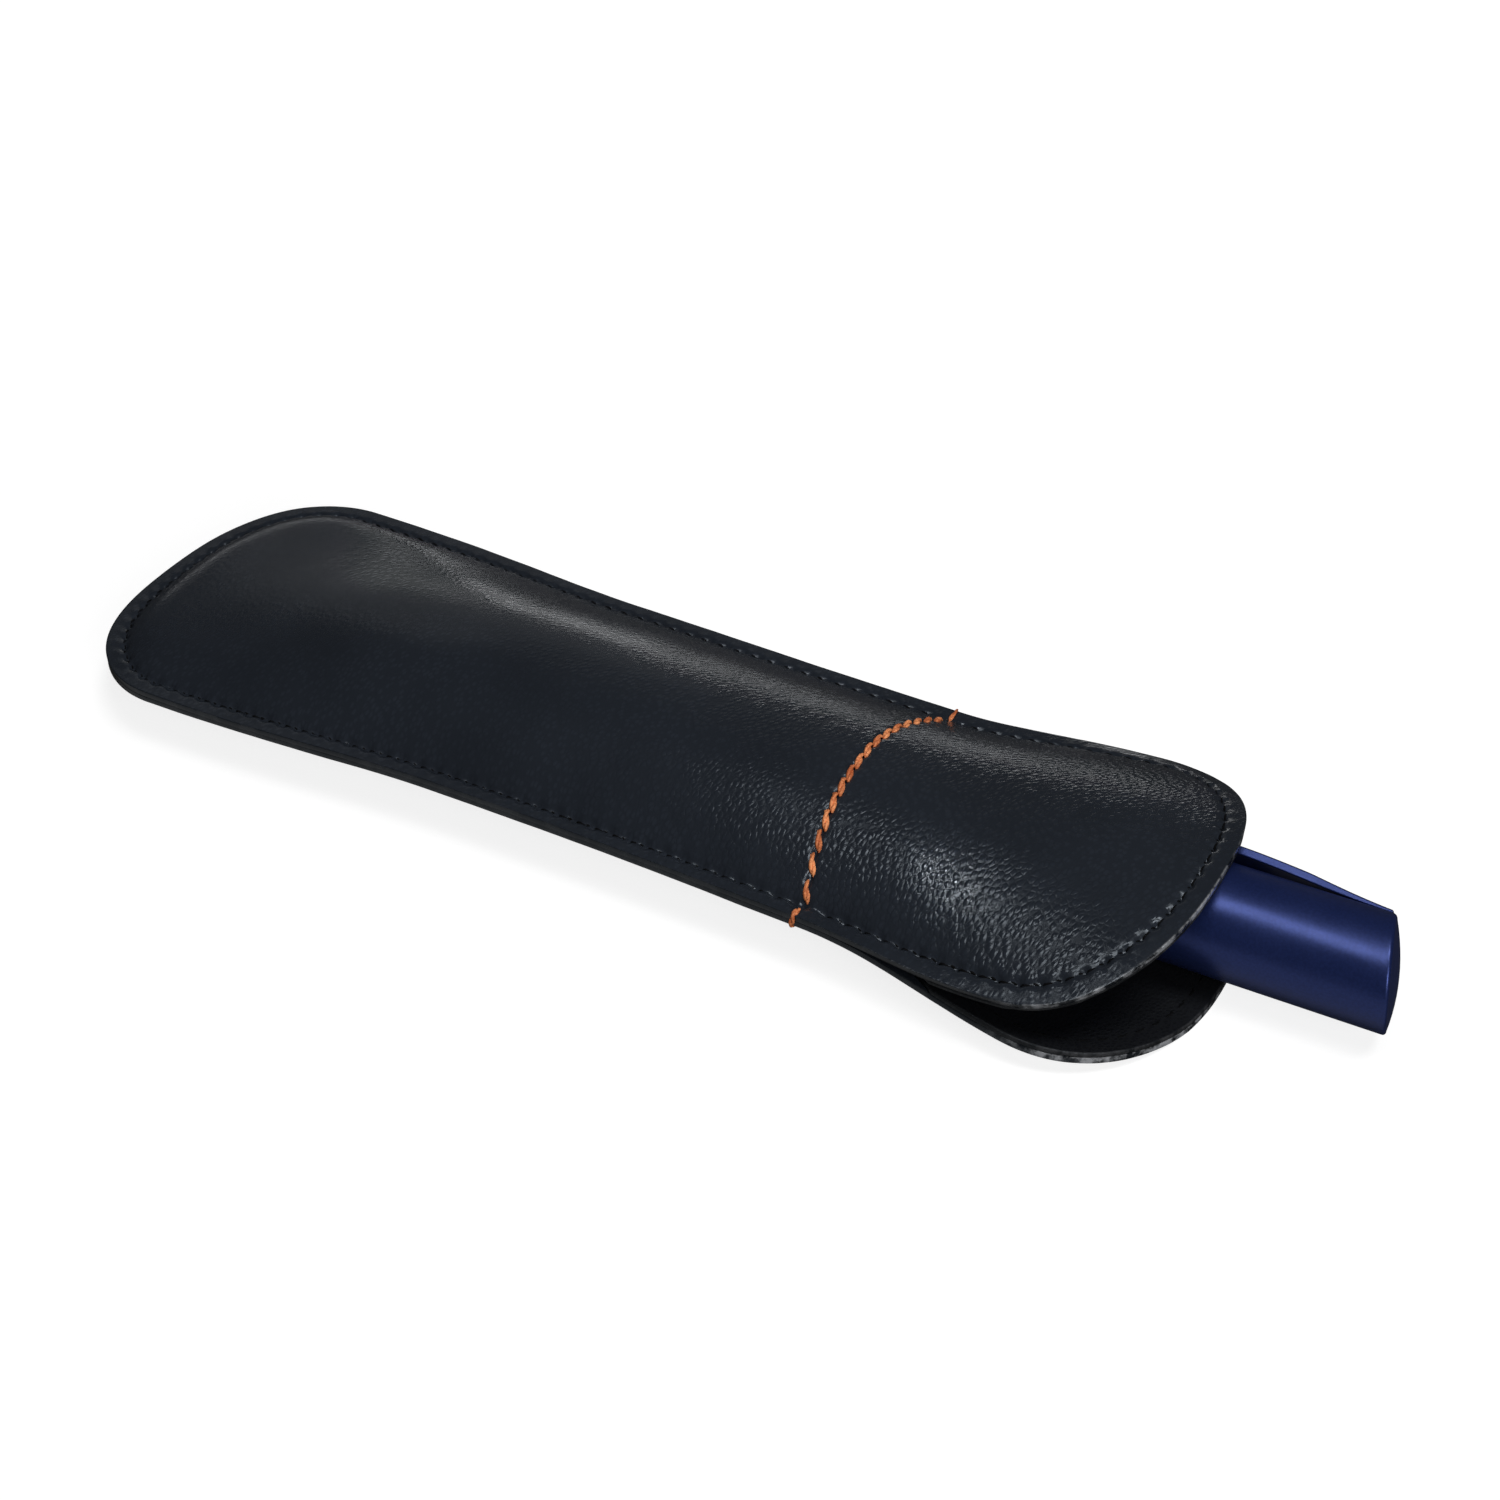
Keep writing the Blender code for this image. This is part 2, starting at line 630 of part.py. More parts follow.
def build_barrel(pen, navy, clear, white):
    """Barrel with its dose window and lens, and the nut that carries the piston rod."""
    counterbore = HOLDER_RADIUS + GAP
    profile = [
        (BARREL_REAR, BORE_RADIUS),
        (BARREL_REAR, BARREL_RADIUS - RIM_BREAK),
        (BARREL_REAR + RIM_BREAK, BARREL_RADIUS),
        (BARREL_FRONT - RIM_BREAK, BARREL_RADIUS),
        (BARREL_FRONT, BARREL_RADIUS - RIM_BREAK),
        (BARREL_FRONT, counterbore),
        (NUT_FRONT, counterbore),
        (NUT_FRONT, BORE_RADIUS),
    ]
    barrel = turned("pen_barrel", profile, 32, navy, pen)
    middle = BARREL_REAR + WINDOW_INSET + 0.5 * WINDOW_LENGTH
    depth = 4.0 * BARREL_WALL
    place = (middle, 0.0, BARREL_RADIUS)
    opening = cutter("window_cutter", (WINDOW_LENGTH, WINDOW_WIDTH, depth), place, pen)
    boolean(barrel, opening, "DIFFERENCE")
    slack = 2.0 * GAP
    pane = [
        (middle - WINDOW_LENGTH, BARREL_RADIUS - LENS_RECESS - LENS_THICKNESS),
        (middle - WINDOW_LENGTH, BARREL_RADIUS - LENS_RECESS),
        (middle + WINDOW_LENGTH, BARREL_RADIUS - LENS_RECESS),
        (middle + WINDOW_LENGTH, BARREL_RADIUS - LENS_RECESS - LENS_THICKNESS),
    ]
    lens = turned("dose_lens", pane, 64, clear, pen)
    trim = cutter("lens_cutter", (WINDOW_LENGTH - slack, WINDOW_WIDTH - slack, depth), place, pen)
    boolean(lens, trim, "INTERSECT")
    nut = [
        (NUT_FRONT - NUT_LENGTH, ROD_RADIUS + RUNNING_GAP),
        (NUT_FRONT - NUT_LENGTH, BORE_RADIUS - GAP),
        (NUT_FRONT, BORE_RADIUS - GAP),
        (NUT_FRONT, ROD_RADIUS + RUNNING_GAP),
    ]
    turned("drive_nut", nut, 24, white, pen)


def build_dial(pen, dark, white):
    """Ribbed dose selector, the number drum on its spigot and the injection button in its bore."""
    bore = BUTTON_RADIUS + RUNNING_GAP
    hole = STEM_RADIUS + RUNNING_GAP
    floor = BUTTON_FRONT + BUTTON_TRAVEL + GAP
    spigot_front = SELECTOR_FRONT + SPIGOT_LENGTH
    spigot = DRUM_BORE - GAP
    rib_rear = SELECTOR_REAR + SELECTOR_NOSE
    rib_front = SELECTOR_FRONT - SELECTOR_COLLAR
    profile = [
        (spigot_front, hole),
        (spigot_front, spigot),
        (SELECTOR_FRONT, spigot),
        (SELECTOR_FRONT, SELECTOR_RADIUS),
        (rib_front + RIB_DEPTH, SELECTOR_RADIUS),
        (rib_front, SELECTOR_RADIUS),
        (rib_rear, SELECTOR_RADIUS - 0.3 * SELECTOR_TAPER),
        (SELECTOR_REAR + RIM_BREAK, SELECTOR_RADIUS - SELECTOR_TAPER),
        (SELECTOR_REAR, SELECTOR_RADIUS - SELECTOR_TAPER - RIM_BREAK),
        (SELECTOR_REAR, bore),
        (floor, bore),
        (floor, hole),
    ]
    sides = 2 * RIB_COUNT
    bm = revolve(profile, sides)
    for vert in bm.verts:
        radius = math.hypot(vert.co.y, vert.co.z)
        turn = math.atan2(vert.co.y, vert.co.z) / (2.0 * math.pi)
        if radius > bore + RIB_DEPTH and rib_rear - RIM_BREAK < vert.co.x < rib_front + 0.5 * RIB_DEPTH:
            if round(turn * sides) % 2:
                vert.co.yz = vert.co.yz * (1.0 - RIB_DEPTH / radius)
    add_object("dose_selector", mesh_from(bm, "dose_selector", 30.0), dark, pen)

    drum_rear = BARREL_REAR + RUNNING_GAP
    drum = [
        (drum_rear, DRUM_BORE),
        (drum_rear, DRUM_RADIUS),
        (drum_rear + DRUM_LENGTH, DRUM_RADIUS),
        (drum_rear + DRUM_LENGTH, DRUM_BORE),
    ]
    turned("number_drum", drum, 32, white, pen)

    stem_front = BUTTON_FRONT + STEM_LENGTH
    button = [
        (BUTTON_DISH, 0.0),
        (0.0, 0.7 * BUTTON_RADIUS),
        (RIM_BREAK, BUTTON_RADIUS),
        (BUTTON_FRONT, BUTTON_RADIUS),
        (BUTTON_FRONT, STEM_RADIUS),
        (stem_front, STEM_RADIUS),
        (stem_front, 0.0),
    ]
    turned("injection_button", button, 32, material("grey_plastic", BUTTON_GREY, 0.4), pen)


def build_cartridge(pen, clear, white):
    """Clear holder with its reading slots, the glass cartridge in it, and the piston behind."""
    shoulder = CARTRIDGE_FRONT - CARTRIDGE_NECK
    neck = CARTRIDGE_FRONT - CRIMP_LENGTH
    crimp_bore = CRIMP_RADIUS + GAP
    tip = crimp_bore + HOLDER_WALL
    needle_hole = CARTRIDGE_FRONT + GAP
    holder = [
        (HOLDER_REAR, HOLDER_BORE),
        (HOLDER_REAR, HOLDER_RADIUS),
        (neck - HOLDER_WALL, HOLDER_RADIUS),
        (neck + 2.0 * HOLDER_WALL, tip),
        (HOLDER_FRONT - RIM_BREAK, tip),
        (HOLDER_FRONT, tip - RIM_BREAK),
        (HOLDER_FRONT, STEM_RADIUS),
        (needle_hole, STEM_RADIUS),
        (needle_hole, crimp_bore),
        (neck, crimp_bore),
        (shoulder + GAP, HOLDER_BORE),
    ]
    sleeve = turned("cartridge_holder", holder, 28, clear, pen)
    slot_middle = BARREL_FRONT + SLOT_INSET + 0.5 * SLOT_LENGTH
    size = (SLOT_LENGTH, 3.0 * HOLDER_RADIUS, SLOT_WIDTH)
    slot = cutter("slot_cutter", size, (slot_middle, 0.0, 0.0), pen)
    boolean(sleeve, slot, "DIFFERENCE")

    neck_bore = NECK_RADIUS - CARTRIDGE_WALL
    glass = [
        (CARTRIDGE_REAR, CARTRIDGE_BORE),
        (CARTRIDGE_REAR, CARTRIDGE_RADIUS),
        (shoulder, CARTRIDGE_RADIUS),
        (shoulder + SHOULDER_LENGTH, NECK_RADIUS),
        (neck - GAP, NECK_RADIUS),
        (neck - GAP, neck_bore),
        (shoulder + 0.5 * SHOULDER_LENGTH, neck_bore),
        (shoulder - CARTRIDGE_WALL, CARTRIDGE_BORE),
    ]
    glass_finish = material("cartridge_glass", CLEAR_PLASTIC, 0.05, alpha=0.3)
    turned("insulin_cartridge", glass, 24, glass_finish, pen)
    crimp = [
        (neck, SEPTUM_RADIUS + GAP),
        (neck, CRIMP_RADIUS),
        (CARTRIDGE_FRONT - RIM_BREAK, CRIMP_RADIUS),
        (CARTRIDGE_FRONT, CRIMP_RADIUS - RIM_BREAK),
        (CARTRIDGE_FRONT, SEPTUM_RADIUS + GAP),
    ]
    turned("crimp_cap", crimp, 20, material("crimp_aluminium", STEEL, 0.35, 1.0), pen)
    rubber = material("rubber", RUBBER, 0.7)
    septum = [(neck, 0.0), (neck, SEPTUM_RADIUS), (CARTRIDGE_FRONT - GAP, SEPTUM_RADIUS),
              (CARTRIDGE_FRONT - GAP, 0.0)]
    turned("septum", septum, 16, rubber, pen)

    foot_front = FOOT_REAR + FOOT_THICKNESS
    foot_radius = CARTRIDGE_BORE - 2.0 * RUNNING_GAP
    rod = [
        (FOOT_REAR - ROD_LENGTH, 0.0),
        (FOOT_REAR - ROD_LENGTH, ROD_RADIUS),
        (FOOT_REAR, ROD_RADIUS),
        (FOOT_REAR, foot_radius),
        (foot_front, foot_radius),
        (foot_front, 0.0),
    ]
    turned("piston_rod", rod, 20, white, pen)

    rear = foot_front + GAP
    lip = CARTRIDGE_BORE - RUNNING_GAP
    stopper = [(rear, 0.0), (rear, lip)]
    for k in range(2):
        land = rear + STOPPER_LENGTH * (0.25 + 0.35 * k)
        groove = (land + STOPPER_GROOVE, lip - STOPPER_GROOVE)
        stopper += [(land, lip), groove, (land + 2.0 * STOPPER_GROOVE, lip)]
    stopper += [(rear + STOPPER_LENGTH, lip), (rear + STOPPER_LENGTH, 0.0)]
    turned("cartridge_stopper", stopper, 20, rubber, pen)


def main():
    """Build the case and the pen in it."""
    clear_scene()
    case = add_empty("case_datum", (-REST_X, 0.0, 0.0))
    build_case(case)
    pen = add_empty("pen_axis", (PEN_REAR, PEN_OFFSET, AXIS_HEIGHT), case, PEN_YAW)
    navy = material("navy_metal", NAVY_METAL, 0.38, 0.6)
    clear = material("clear_plastic", CLEAR_PLASTIC, 0.1, alpha=0.35)
    build_cap(pen, navy)
    build_clip(pen, navy)
    white = material("white_plastic", WHITE_PLASTIC, 0.5)
    build_barrel(pen, navy, clear, white)
    build_dial(pen, material("dark_plastic", DARK_PLASTIC, 0.45), white)
    build_cartridge(pen, clear, white)


main()
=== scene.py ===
"""Looks of a slim leather case for an insulin pen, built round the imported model.

The case lies on its back with its mouth towards +X. Leather is worked as flat pieces with flat
coordinates (u, the distance from the closed end, and v, the distance from the middle line), then
laid over the pen by the same form as the solids. Stitches sit in their own holes, and each finish
is a procedural material.
"""

from __future__ import annotations

import logging
import math
from dataclasses import dataclass, field
from enum import Enum
from functools import lru_cache

import bmesh
import bpy
import numpy as np
from mathutils import Matrix, Vector, noise
from mathutils.kdtree import KDTree

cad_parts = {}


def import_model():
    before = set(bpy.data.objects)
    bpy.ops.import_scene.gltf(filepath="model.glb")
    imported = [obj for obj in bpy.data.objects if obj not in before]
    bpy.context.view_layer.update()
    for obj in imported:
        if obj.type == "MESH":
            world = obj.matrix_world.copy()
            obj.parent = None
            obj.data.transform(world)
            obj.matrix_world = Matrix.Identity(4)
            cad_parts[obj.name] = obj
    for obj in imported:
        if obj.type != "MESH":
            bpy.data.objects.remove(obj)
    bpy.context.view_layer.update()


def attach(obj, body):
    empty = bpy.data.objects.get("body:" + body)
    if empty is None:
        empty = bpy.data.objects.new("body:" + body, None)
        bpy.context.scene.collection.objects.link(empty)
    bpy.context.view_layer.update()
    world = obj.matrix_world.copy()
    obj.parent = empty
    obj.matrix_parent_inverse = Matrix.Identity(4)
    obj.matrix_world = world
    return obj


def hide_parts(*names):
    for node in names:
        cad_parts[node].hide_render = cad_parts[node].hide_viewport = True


LOG = logging.getLogger("pen_case")
MM = 0.001
FULL_TURN = 2.0 * math.pi
UV_PER_METRE = 10.0
UV_MIDDLE = 0.5

Array = np.ndarray
BMesh = bmesh.types.BMesh
Node = bpy.types.Node
NodeTree = bpy.types.NodeTree
Piece = bpy.types.Object
Socket = bpy.types.NodeSocket
Colour = Point = tuple[float, float, float]
Span = tuple[float, float]
Profile = list[tuple[float, float]]
WHITE = (1.0, 1.0, 1.0, 1.0)


class Face(Enum):
    """A side of the case."""

    FRONT = "front"
    BACK = "back"


class Layer(Enum):
    """Which face of a tongue a seam shows on."""

    OUTSIDE = "outside"
    INSIDE = "inside"


# Node trees


@dataclass
class Graph:
    """A node tree that is filled node by node."""

    tree: NodeTree

    def link(self, value: Socket, node: Node, key: str) -> None:
        """Feed a result to a node's input."""
        self.tree.links.new(value, node.inputs[key])

    def node(self, kind: str, inputs: dict | None = None, **settings: object) -> Node:
        """Add a shader node.

        Args:
            kind: The node's type name, without its prefix.
            inputs: Values or sockets for its inputs, by name or by index.
            settings: Properties of the node, set before its inputs.

        Returns:
            The new node.
        """
        made = self.tree.nodes.new(f"ShaderNode{kind}")
        for name, value in settings.items():
            setattr(made, name, value)
        for key, value in (inputs or {}).items():
            if isinstance(value, Socket):
                self.tree.links.new(value, made.inputs[key])
            else:
                made.inputs[key].default_value = value
        return made

    def math(self, operation: str, a: Socket | float, b: Socket | float) -> Socket:
        """Add a Math node and return its result."""
        return self.node("Math", {0: a, 1: b}, operation=operation).outputs[0]

    def times(self, a: Socket | float, b: Socket | float) -> Socket:
        """Multiply two values."""
        return self.math("MULTIPLY", a, b)

    def plus(self, a: Socket | float, b: Socket | float) -> Socket:
        """Add two values."""
        return self.math("ADD", a, b)

    def vector(self, operation: str, a: Socket, b: object) -> Node:
        """Add a Vector Math node."""
        second = "Scale" if operation == "SCALE" else 1
        return self.node("VectorMath", {0: a, second: b}, operation=operation)

    def ramp(
        self, value: Socket, low: float, high: float, to_low: float = 0.0, to_high: float = 1.0
    ) -> Socket:
        """Add a smooth Map Range node and return its result."""
        ends = {"Value": value, "From Min": low, "From Max": high, "To Min": to_low, "To Max": to_high}
        return self.node("MapRange", ends, interpolation_type="SMOOTHSTEP").outputs["Result"]

    def blend(self, share: Socket, a: object, b: object) -> Socket:
        """Add a colour Mix node and return its colour."""
        return self.node("Mix", {0: share, 6: a, 7: b}, data_type="RGBA").outputs[2]

    def cloud(self, place: Socket, scale: Socket | float, detail: float, rough: float = 0.5) -> Node:
        """Add a noise texture."""
        return self.node("TexNoise", {"Vector": place, "Scale": scale, "Detail": detail, "Roughness": rough})

    def cells(self, place: Socket, feature: str, scale: float = 1.0, uneven: float = 0.92) -> Socket:
        """Add a cell texture and return its distance."""
        values = {"Vector": place, "Scale": scale, "Randomness": uneven}
        return self.node("TexVoronoi", values, feature=feature).outputs["Distance"]

    def group(self, tree: NodeTree, **inputs: object) -> Node:
        """Place a node group with its own values."""
        return self.node("Group", inputs, node_tree=tree)

    def place(self) -> Socket:
        """The point's place in the model, in metres."""
        return self.node("TexCoord").outputs["Object"]

    def bump(self, height: Socket, depth: float, shader: Node) -> None:
        """Give a shader a relief of this depth in millimetres."""
        made = self.node("Bump", {"Height": height, "Distance": depth * MM})
        self.link(made.outputs[0], shader, "Normal")

    def seen(self) -> tuple[Socket, Node]:
        """1 for what the camera sees straight or through clear pieces, and the light path."""
        path = self.node("LightPath")
        return self.math("MAXIMUM", path.outputs["Is Camera Ray"], path.outputs["Is Transmission Ray"]), path


def new_group(
    name: str, vector: str, values: tuple[str, ...], results: tuple[str, ...]
) -> tuple[Graph, dict[str, Socket], Node]:
    """Start a shader node group.

    Args:
        name: The group's name.
        vector: Its vector input.
        values: Its inputs that are plain values.
        results: Its outputs.

    Returns:
        The group's graph, its input sockets by name, and its output node.
    """
    tree = bpy.data.node_groups.new(name, "ShaderNodeTree")
    for label in (vector, *values):
        kind = "NodeSocketVector" if label == vector else "NodeSocketFloat"
        tree.interface.new_socket(label, in_out="INPUT", socket_type=kind)
    for label in results:
        tree.interface.new_socket(label, in_out="OUTPUT", socket_type="NodeSocketFloat")
    entry, out = tree.nodes.new("NodeGroupInput"), tree.nodes.new("NodeGroupOutput")
    return Graph(tree), {label: entry.outputs[label] for label in (vector, *values)}, out


@lru_cache(maxsize=None)
def pebble_grain() -> NodeTree:
    """Pebbled leather grain: lengthened pebbles, pores and shallow creases.

    Returns:
        The group, whose Height runs from 0 in the creases to about 1 on the pebbles.
    """
    values = ("Pebble", "Stretch", "Crease")
    graph, inp, out = new_group("pebble_grain", "Flat", values, ("Height", "Mottle"))
    wander_scale, wander_size = 0.22, 0.5
    dome_reach, dome_share = (0.12, 0.68), 0.6
    top_reach, top_share = (0.0, 0.2), 0.18
    pore_scale, pore_share = 3.1, 0.06
    fold_scale, fold_reach = 0.22, (0.0, 0.14)
    wander = graph.cloud(inp["Flat"], wander_scale, 1.0)
    shift = graph.vector("SCALE", wander.outputs["Color"], wander_size)
    bent = graph.vector("ADD", inp["Flat"], shift.outputs[0])
    apart = graph.node("SeparateXYZ", {0: bent.outputs[0]})
    along = graph.math("DIVIDE", apart.outputs["X"], inp["Pebble"])
    across = graph.math("DIVIDE", apart.outputs["Y"], graph.times(inp["Pebble"], inp["Stretch"]))
    cell = graph.node("CombineXYZ", {"X": along, "Y": across, "Z": apart.outputs["Z"]}).outputs[0]
    domes = graph.ramp(graph.cells(cell, "F1"), *dome_reach, 1.0, 0.0)
    tops = graph.ramp(graph.cells(cell, "DISTANCE_TO_EDGE"), *top_reach)
    folds = graph.ramp(graph.cells(cell, "DISTANCE_TO_EDGE", fold_scale, 1.0), *fold_reach)
    pores = graph.times(graph.cloud(cell, pore_scale, 3.0).outputs["Fac"], pore_share)
    pebbles = graph.plus(graph.times(domes, dome_share), graph.times(tops, top_share))
    height = graph.plus(graph.plus(pebbles, pores), graph.times(folds, inp["Crease"]))
    graph.link(height, out, "Height")
    graph.link(graph.cloud(inp["Flat"], 0.06, 4.0).outputs["Fac"], out, "Mottle")
    return graph.tree


@lru_cache(maxsize=None)
def edge_wear_and_glint() -> NodeTree:
    """Edge wear with a painted glint, following an edge: strongest on it, broken up, gone within its reach.

    Returns:
        The group, whose Mask is 1 where the edge wear and its painted glint are fullest.
    """
    values = ("Inset", "Reach", "Patch", "Amount")
    graph, inp, out = new_group("edge_wear_and_glint", "Position", values, ("Mask",))
    wear_glint_from, wear_glint_full = 0.42, 0.64
    patch = graph.cloud(inp["Position"], inp["Patch"], 5.0, 0.6)
    near = graph.ramp(graph.math("DIVIDE", inp["Inset"], inp["Reach"]), 0.0, 1.0, 1.0, 0.0)
    broken = graph.ramp(patch.outputs["Fac"], wear_glint_from, wear_glint_full)
    graph.link(graph.times(graph.times(near, broken), inp["Amount"]), out, "Mask")
    return graph.tree


@lru_cache(maxsize=None)
def handling_marks() -> NodeTree:
    """Roughness that varies a little from handling, with a fine surface texture.

    Returns:
        The group, with a Roughness value and a fine Height.
    """
    values = ("Low", "High", "Texture")
    graph, inp, out = new_group("handling_marks", "Position", values, ("Roughness", "Height"))
    smear_scale, clean, smeared = 140.0, 0.3, 0.7
    smear = graph.cloud(inp["Position"], smear_scale, 4.0)
    speck = graph.cloud(inp["Position"], inp["Texture"], 2.0)
    level = graph.ramp(smear.outputs["Fac"], clean, smeared)
    rough = graph.plus(inp["Low"], graph.times(level, graph.math("SUBTRACT", inp["High"], inp["Low"])))
    graph.link(rough, out, "Roughness")
    graph.link(speck.outputs["Fac"], out, "Height")
    return graph.tree


# Finishes


def rgba(colour: Colour, shade: float = 1.0) -> tuple[float, ...]:
    """A colour at a shade of itself, with its alpha."""
    return (*(shade * part for part in colour), 1.0)


def start_material(name: str, **settings: float) -> tuple[bpy.types.Material, Graph, Node]:
    """Start a Principled material.

    Args:
        name: The material's name.
        settings: Plain values for the shader's own sockets, with underscores for spaces.

    Returns:
        The material, its graph and its shader.
    """
    made = bpy.data.materials.new(name)
    made.use_nodes = True
    shader = made.node_tree.nodes["Principled BSDF"]
    for key, value in settings.items():
        shader.inputs[key.replace("_", " ")].default_value = value
    return made, Graph(made.node_tree), shader


def handle(graph: Graph, shader: Node, low: float, high: float, texture: float) -> Socket:
    """Let a shader's roughness vary with handling.

    Args:
        graph: The material's graph.
        shader: Its shader.
        low: The least roughness.
        high: The most.
        texture: Scale of the fine texture.

    Returns:
        The fine texture's height.
    """
    marks = graph.group(handling_marks(), Position=graph.place(), Low=low, High=high, Texture=texture)
    graph.link(marks.outputs["Roughness"], shader, "Roughness")
    return marks.outputs["Height"]


@dataclass(frozen=True)
class LeatherFinish:
    """Grained, dyed leather whose edge shows wear and a painted glint. Sizes and flat coordinates in
    millimetres.
    """

    name: str
    colour: Colour = (0.0168, 0.0205, 0.0275)
    # Colour of the edge wear: partly real wear, mostly a painted glint of light on the rounded cut edge
    worn_glint: Colour = (0.38, 0.39, 0.41)
    tint: Colour = (0.82, 0.91, 1.0)
    specular: float = 0.34
    # Roughness of the tops of the grain and between them, and the heights where these hold
    low: float = 0.12
    high: float = 0.26
    polished: Span = (0.2, 0.75)
    # Grain: a pebble's size, how much longer it is across than along, its lean and its depth
    pebble: float = 0.72
    stretch: float = 1.65
    lean: float = 23.0
    crease: float = 0.08
    depth: float = 0.125
    # Strength of the grain at the closed end, at the mouth, and added round one spot by the mouth
    calm: float = 0.14
    middling: float = 0.5
    bold: float = 0.5
    rising: Span = (60.0, 140.0)
    bold_spot: Point = (152.0, 75.0, 0.0)
    bold_squeeze: Point = (1.0, 2.2, 1.0)
    bold_reach: Span = (3.0, 27.0)
    pressed: tuple[float, ...] = (2.2, 4.2, 0.45, 1.0)
    patchy: tuple[float, ...] = (0.35, 0.68, 0.75, 1.25)
    # Colour: shades of the grain's tops, of the mottle and of the cut edge, and where each one holds
    top_shade: float = 1.3
    top_heights: Span = (0.3, 0.85)
    mottle_shade: float = 0.72
    mottle_values: Span = (0.3, 0.7)
    mottle_share: float = 0.55
    cut_shade: float = 0.35
    cut_inset: Span = (0.02, 0.22)
    # Edge wear with its painted glint: how much, how far in, its patches, the lengths that hands hold, and
    # the near side, where the painted glint is brightest
    wear_and_glint: float = 0.9
    reach: float = 0.3
    patch: float = 420.0
    held_along: Span = (160.0, 174.0)
    glint_side_across: Span = (40.0, 60.0)
    least_along: float = 0.04
    least_across: float = 0.2

    def colour_with_painted_glint(self, graph: Graph, grain: Node, inset: Socket, apart: Node) -> Socket:
        """Colour the leather, its cut edge, and its edge wear with a painted glint along it.

        Args:
            graph: The material's graph.
            grain: The grain's node.
            inset: Distance in from the cut edge.
            apart: The flat coordinates, taken apart.

        Returns:
            The colour.
        """
        # Mask of the edge wear and its painted glint: fullest at the mouth and on the near side, where the
        # glint is painted
        along = graph.ramp(apart.outputs["X"], *self.held_along, self.least_along, 1.0)
        across = graph.ramp(apart.outputs["Y"], *self.glint_side_across, self.wear_and_glint, self.least_across * self.wear_and_glint)
        worn_glint = graph.group(
            edge_wear_and_glint(), Position=graph.place(), Inset=inset, Patch=self.patch, Reach=self.reach,
            Amount=graph.times(along, across),
        )
        top = graph.ramp(grain.outputs["Height"], *self.top_heights)
        mottle = graph.ramp(grain.outputs["Mottle"], *self.mottle_values, 0.0, self.mottle_share)
        cut = graph.ramp(inset, *self.cut_inset, 1.0, 0.0)
        skin = graph.blend(top, rgba(self.colour), rgba(self.colour, self.top_shade))
        skin = graph.blend(mottle, skin, rgba(self.colour, self.mottle_shade))
        skin = graph.blend(cut, skin, rgba(self.colour, self.cut_shade))
        # Painted glint: the edge wear is blended in as a bright line that stands in for light on the edge
        return graph.blend(worn_glint.outputs["Mask"], skin, rgba(self.worn_glint))

    def relief(self, graph: Graph, grain: Node, inset: Socket, flat: Socket, apart: Node) -> Socket:
        """Grain that is calm over the empty end, pressed flat at the rim and boldest by the mouth.

        Args:
            graph: The material's graph.
            grain: The grain's node.
            inset: Distance in from the cut edge.
            flat: The flat coordinates.
            apart: The same, taken apart.

        Returns:
            The height for the bump.
        """
        patchy = graph.ramp(grain.outputs["Mottle"], *self.patchy)
        rim = graph.ramp(inset, *self.pressed)
        even = graph.ramp(apart.outputs["X"], *self.rising, self.calm, self.middling)
        squeezed = graph.vector("MULTIPLY", flat, self.bold_squeeze).outputs[0]
        away = graph.vector("DISTANCE", squeezed, self.bold_spot).outputs["Value"]
        bold = graph.ramp(away, *self.bold_reach, self.bold, 0.0)
        strength = graph.times(graph.times(patchy, rim), graph.plus(even, bold))
        return graph.times(grain.outputs["Height"], strength)

    def build(self) -> bpy.types.Material:
        """Make the material.

        Returns:
            The material.
        """
        made, graph, shader = start_material(self.name, Specular_IOR_Level=self.specular)
        shader.inputs["Specular Tint"].default_value = rgba(self.tint)
        sheet = graph.node("UVMap", uv_map="flat").outputs[0]
        flat = graph.vector("SCALE", sheet, 1.0 / (UV_PER_METRE * MM)).outputs[0]
        turn = {"Vector": flat, "Angle": math.radians(self.lean)}
        leant = graph.node("VectorRotate", turn, rotation_type="Z_AXIS").outputs[0]
        grain = graph.group(
            pebble_grain(), Flat=leant, Pebble=self.pebble, Stretch=self.stretch, Crease=self.crease
        )
        inset = graph.node("Attribute", attribute_name="inset").outputs["Fac"]
        apart = graph.node("SeparateXYZ", {0: flat})
        graph.link(self.colour_with_painted_glint(graph, grain, inset, apart), shader, "Base Color")
        gloss = graph.ramp(grain.outputs["Height"], *self.polished, self.high, self.low)
        graph.link(gloss, shader, "Roughness")
        graph.bump(self.relief(graph, grain, inset, flat, apart), self.depth, shader)
        return made


@dataclass(frozen=True)
class ThreadFinish:
    """Twisted, waxed thread."""

    name: str
    colour: Colour
    dark: Colour
    roughness: float = 0.55
    sheen: float = 0.25
    fibre: float = 3200.0
    dirt: float = 260.0
    dark_values: Span = (0.12, 0.34)
    depth: float = 0.05

    def build(self) -> bpy.types.Material:
        """Make the material.

        Returns:
            The material.
        """
        values = {"Roughness": self.roughness, "Specular_IOR_Level": self.sheen}
        made, graph, shader = start_material(self.name, **values)
        place = graph.place()
        fibre = graph.cloud(place, self.fibre, 3.0).outputs["Fac"]
        both = graph.times(fibre, graph.cloud(place, self.dirt, 2.0).outputs["Fac"])
        share = graph.ramp(both, *self.dark_values, 1.0, 0.0)
        graph.link(graph.blend(share, rgba(self.colour), rgba(self.dark)), shader, "Base Color")
        graph.bump(fibre, self.depth, shader)
        return made


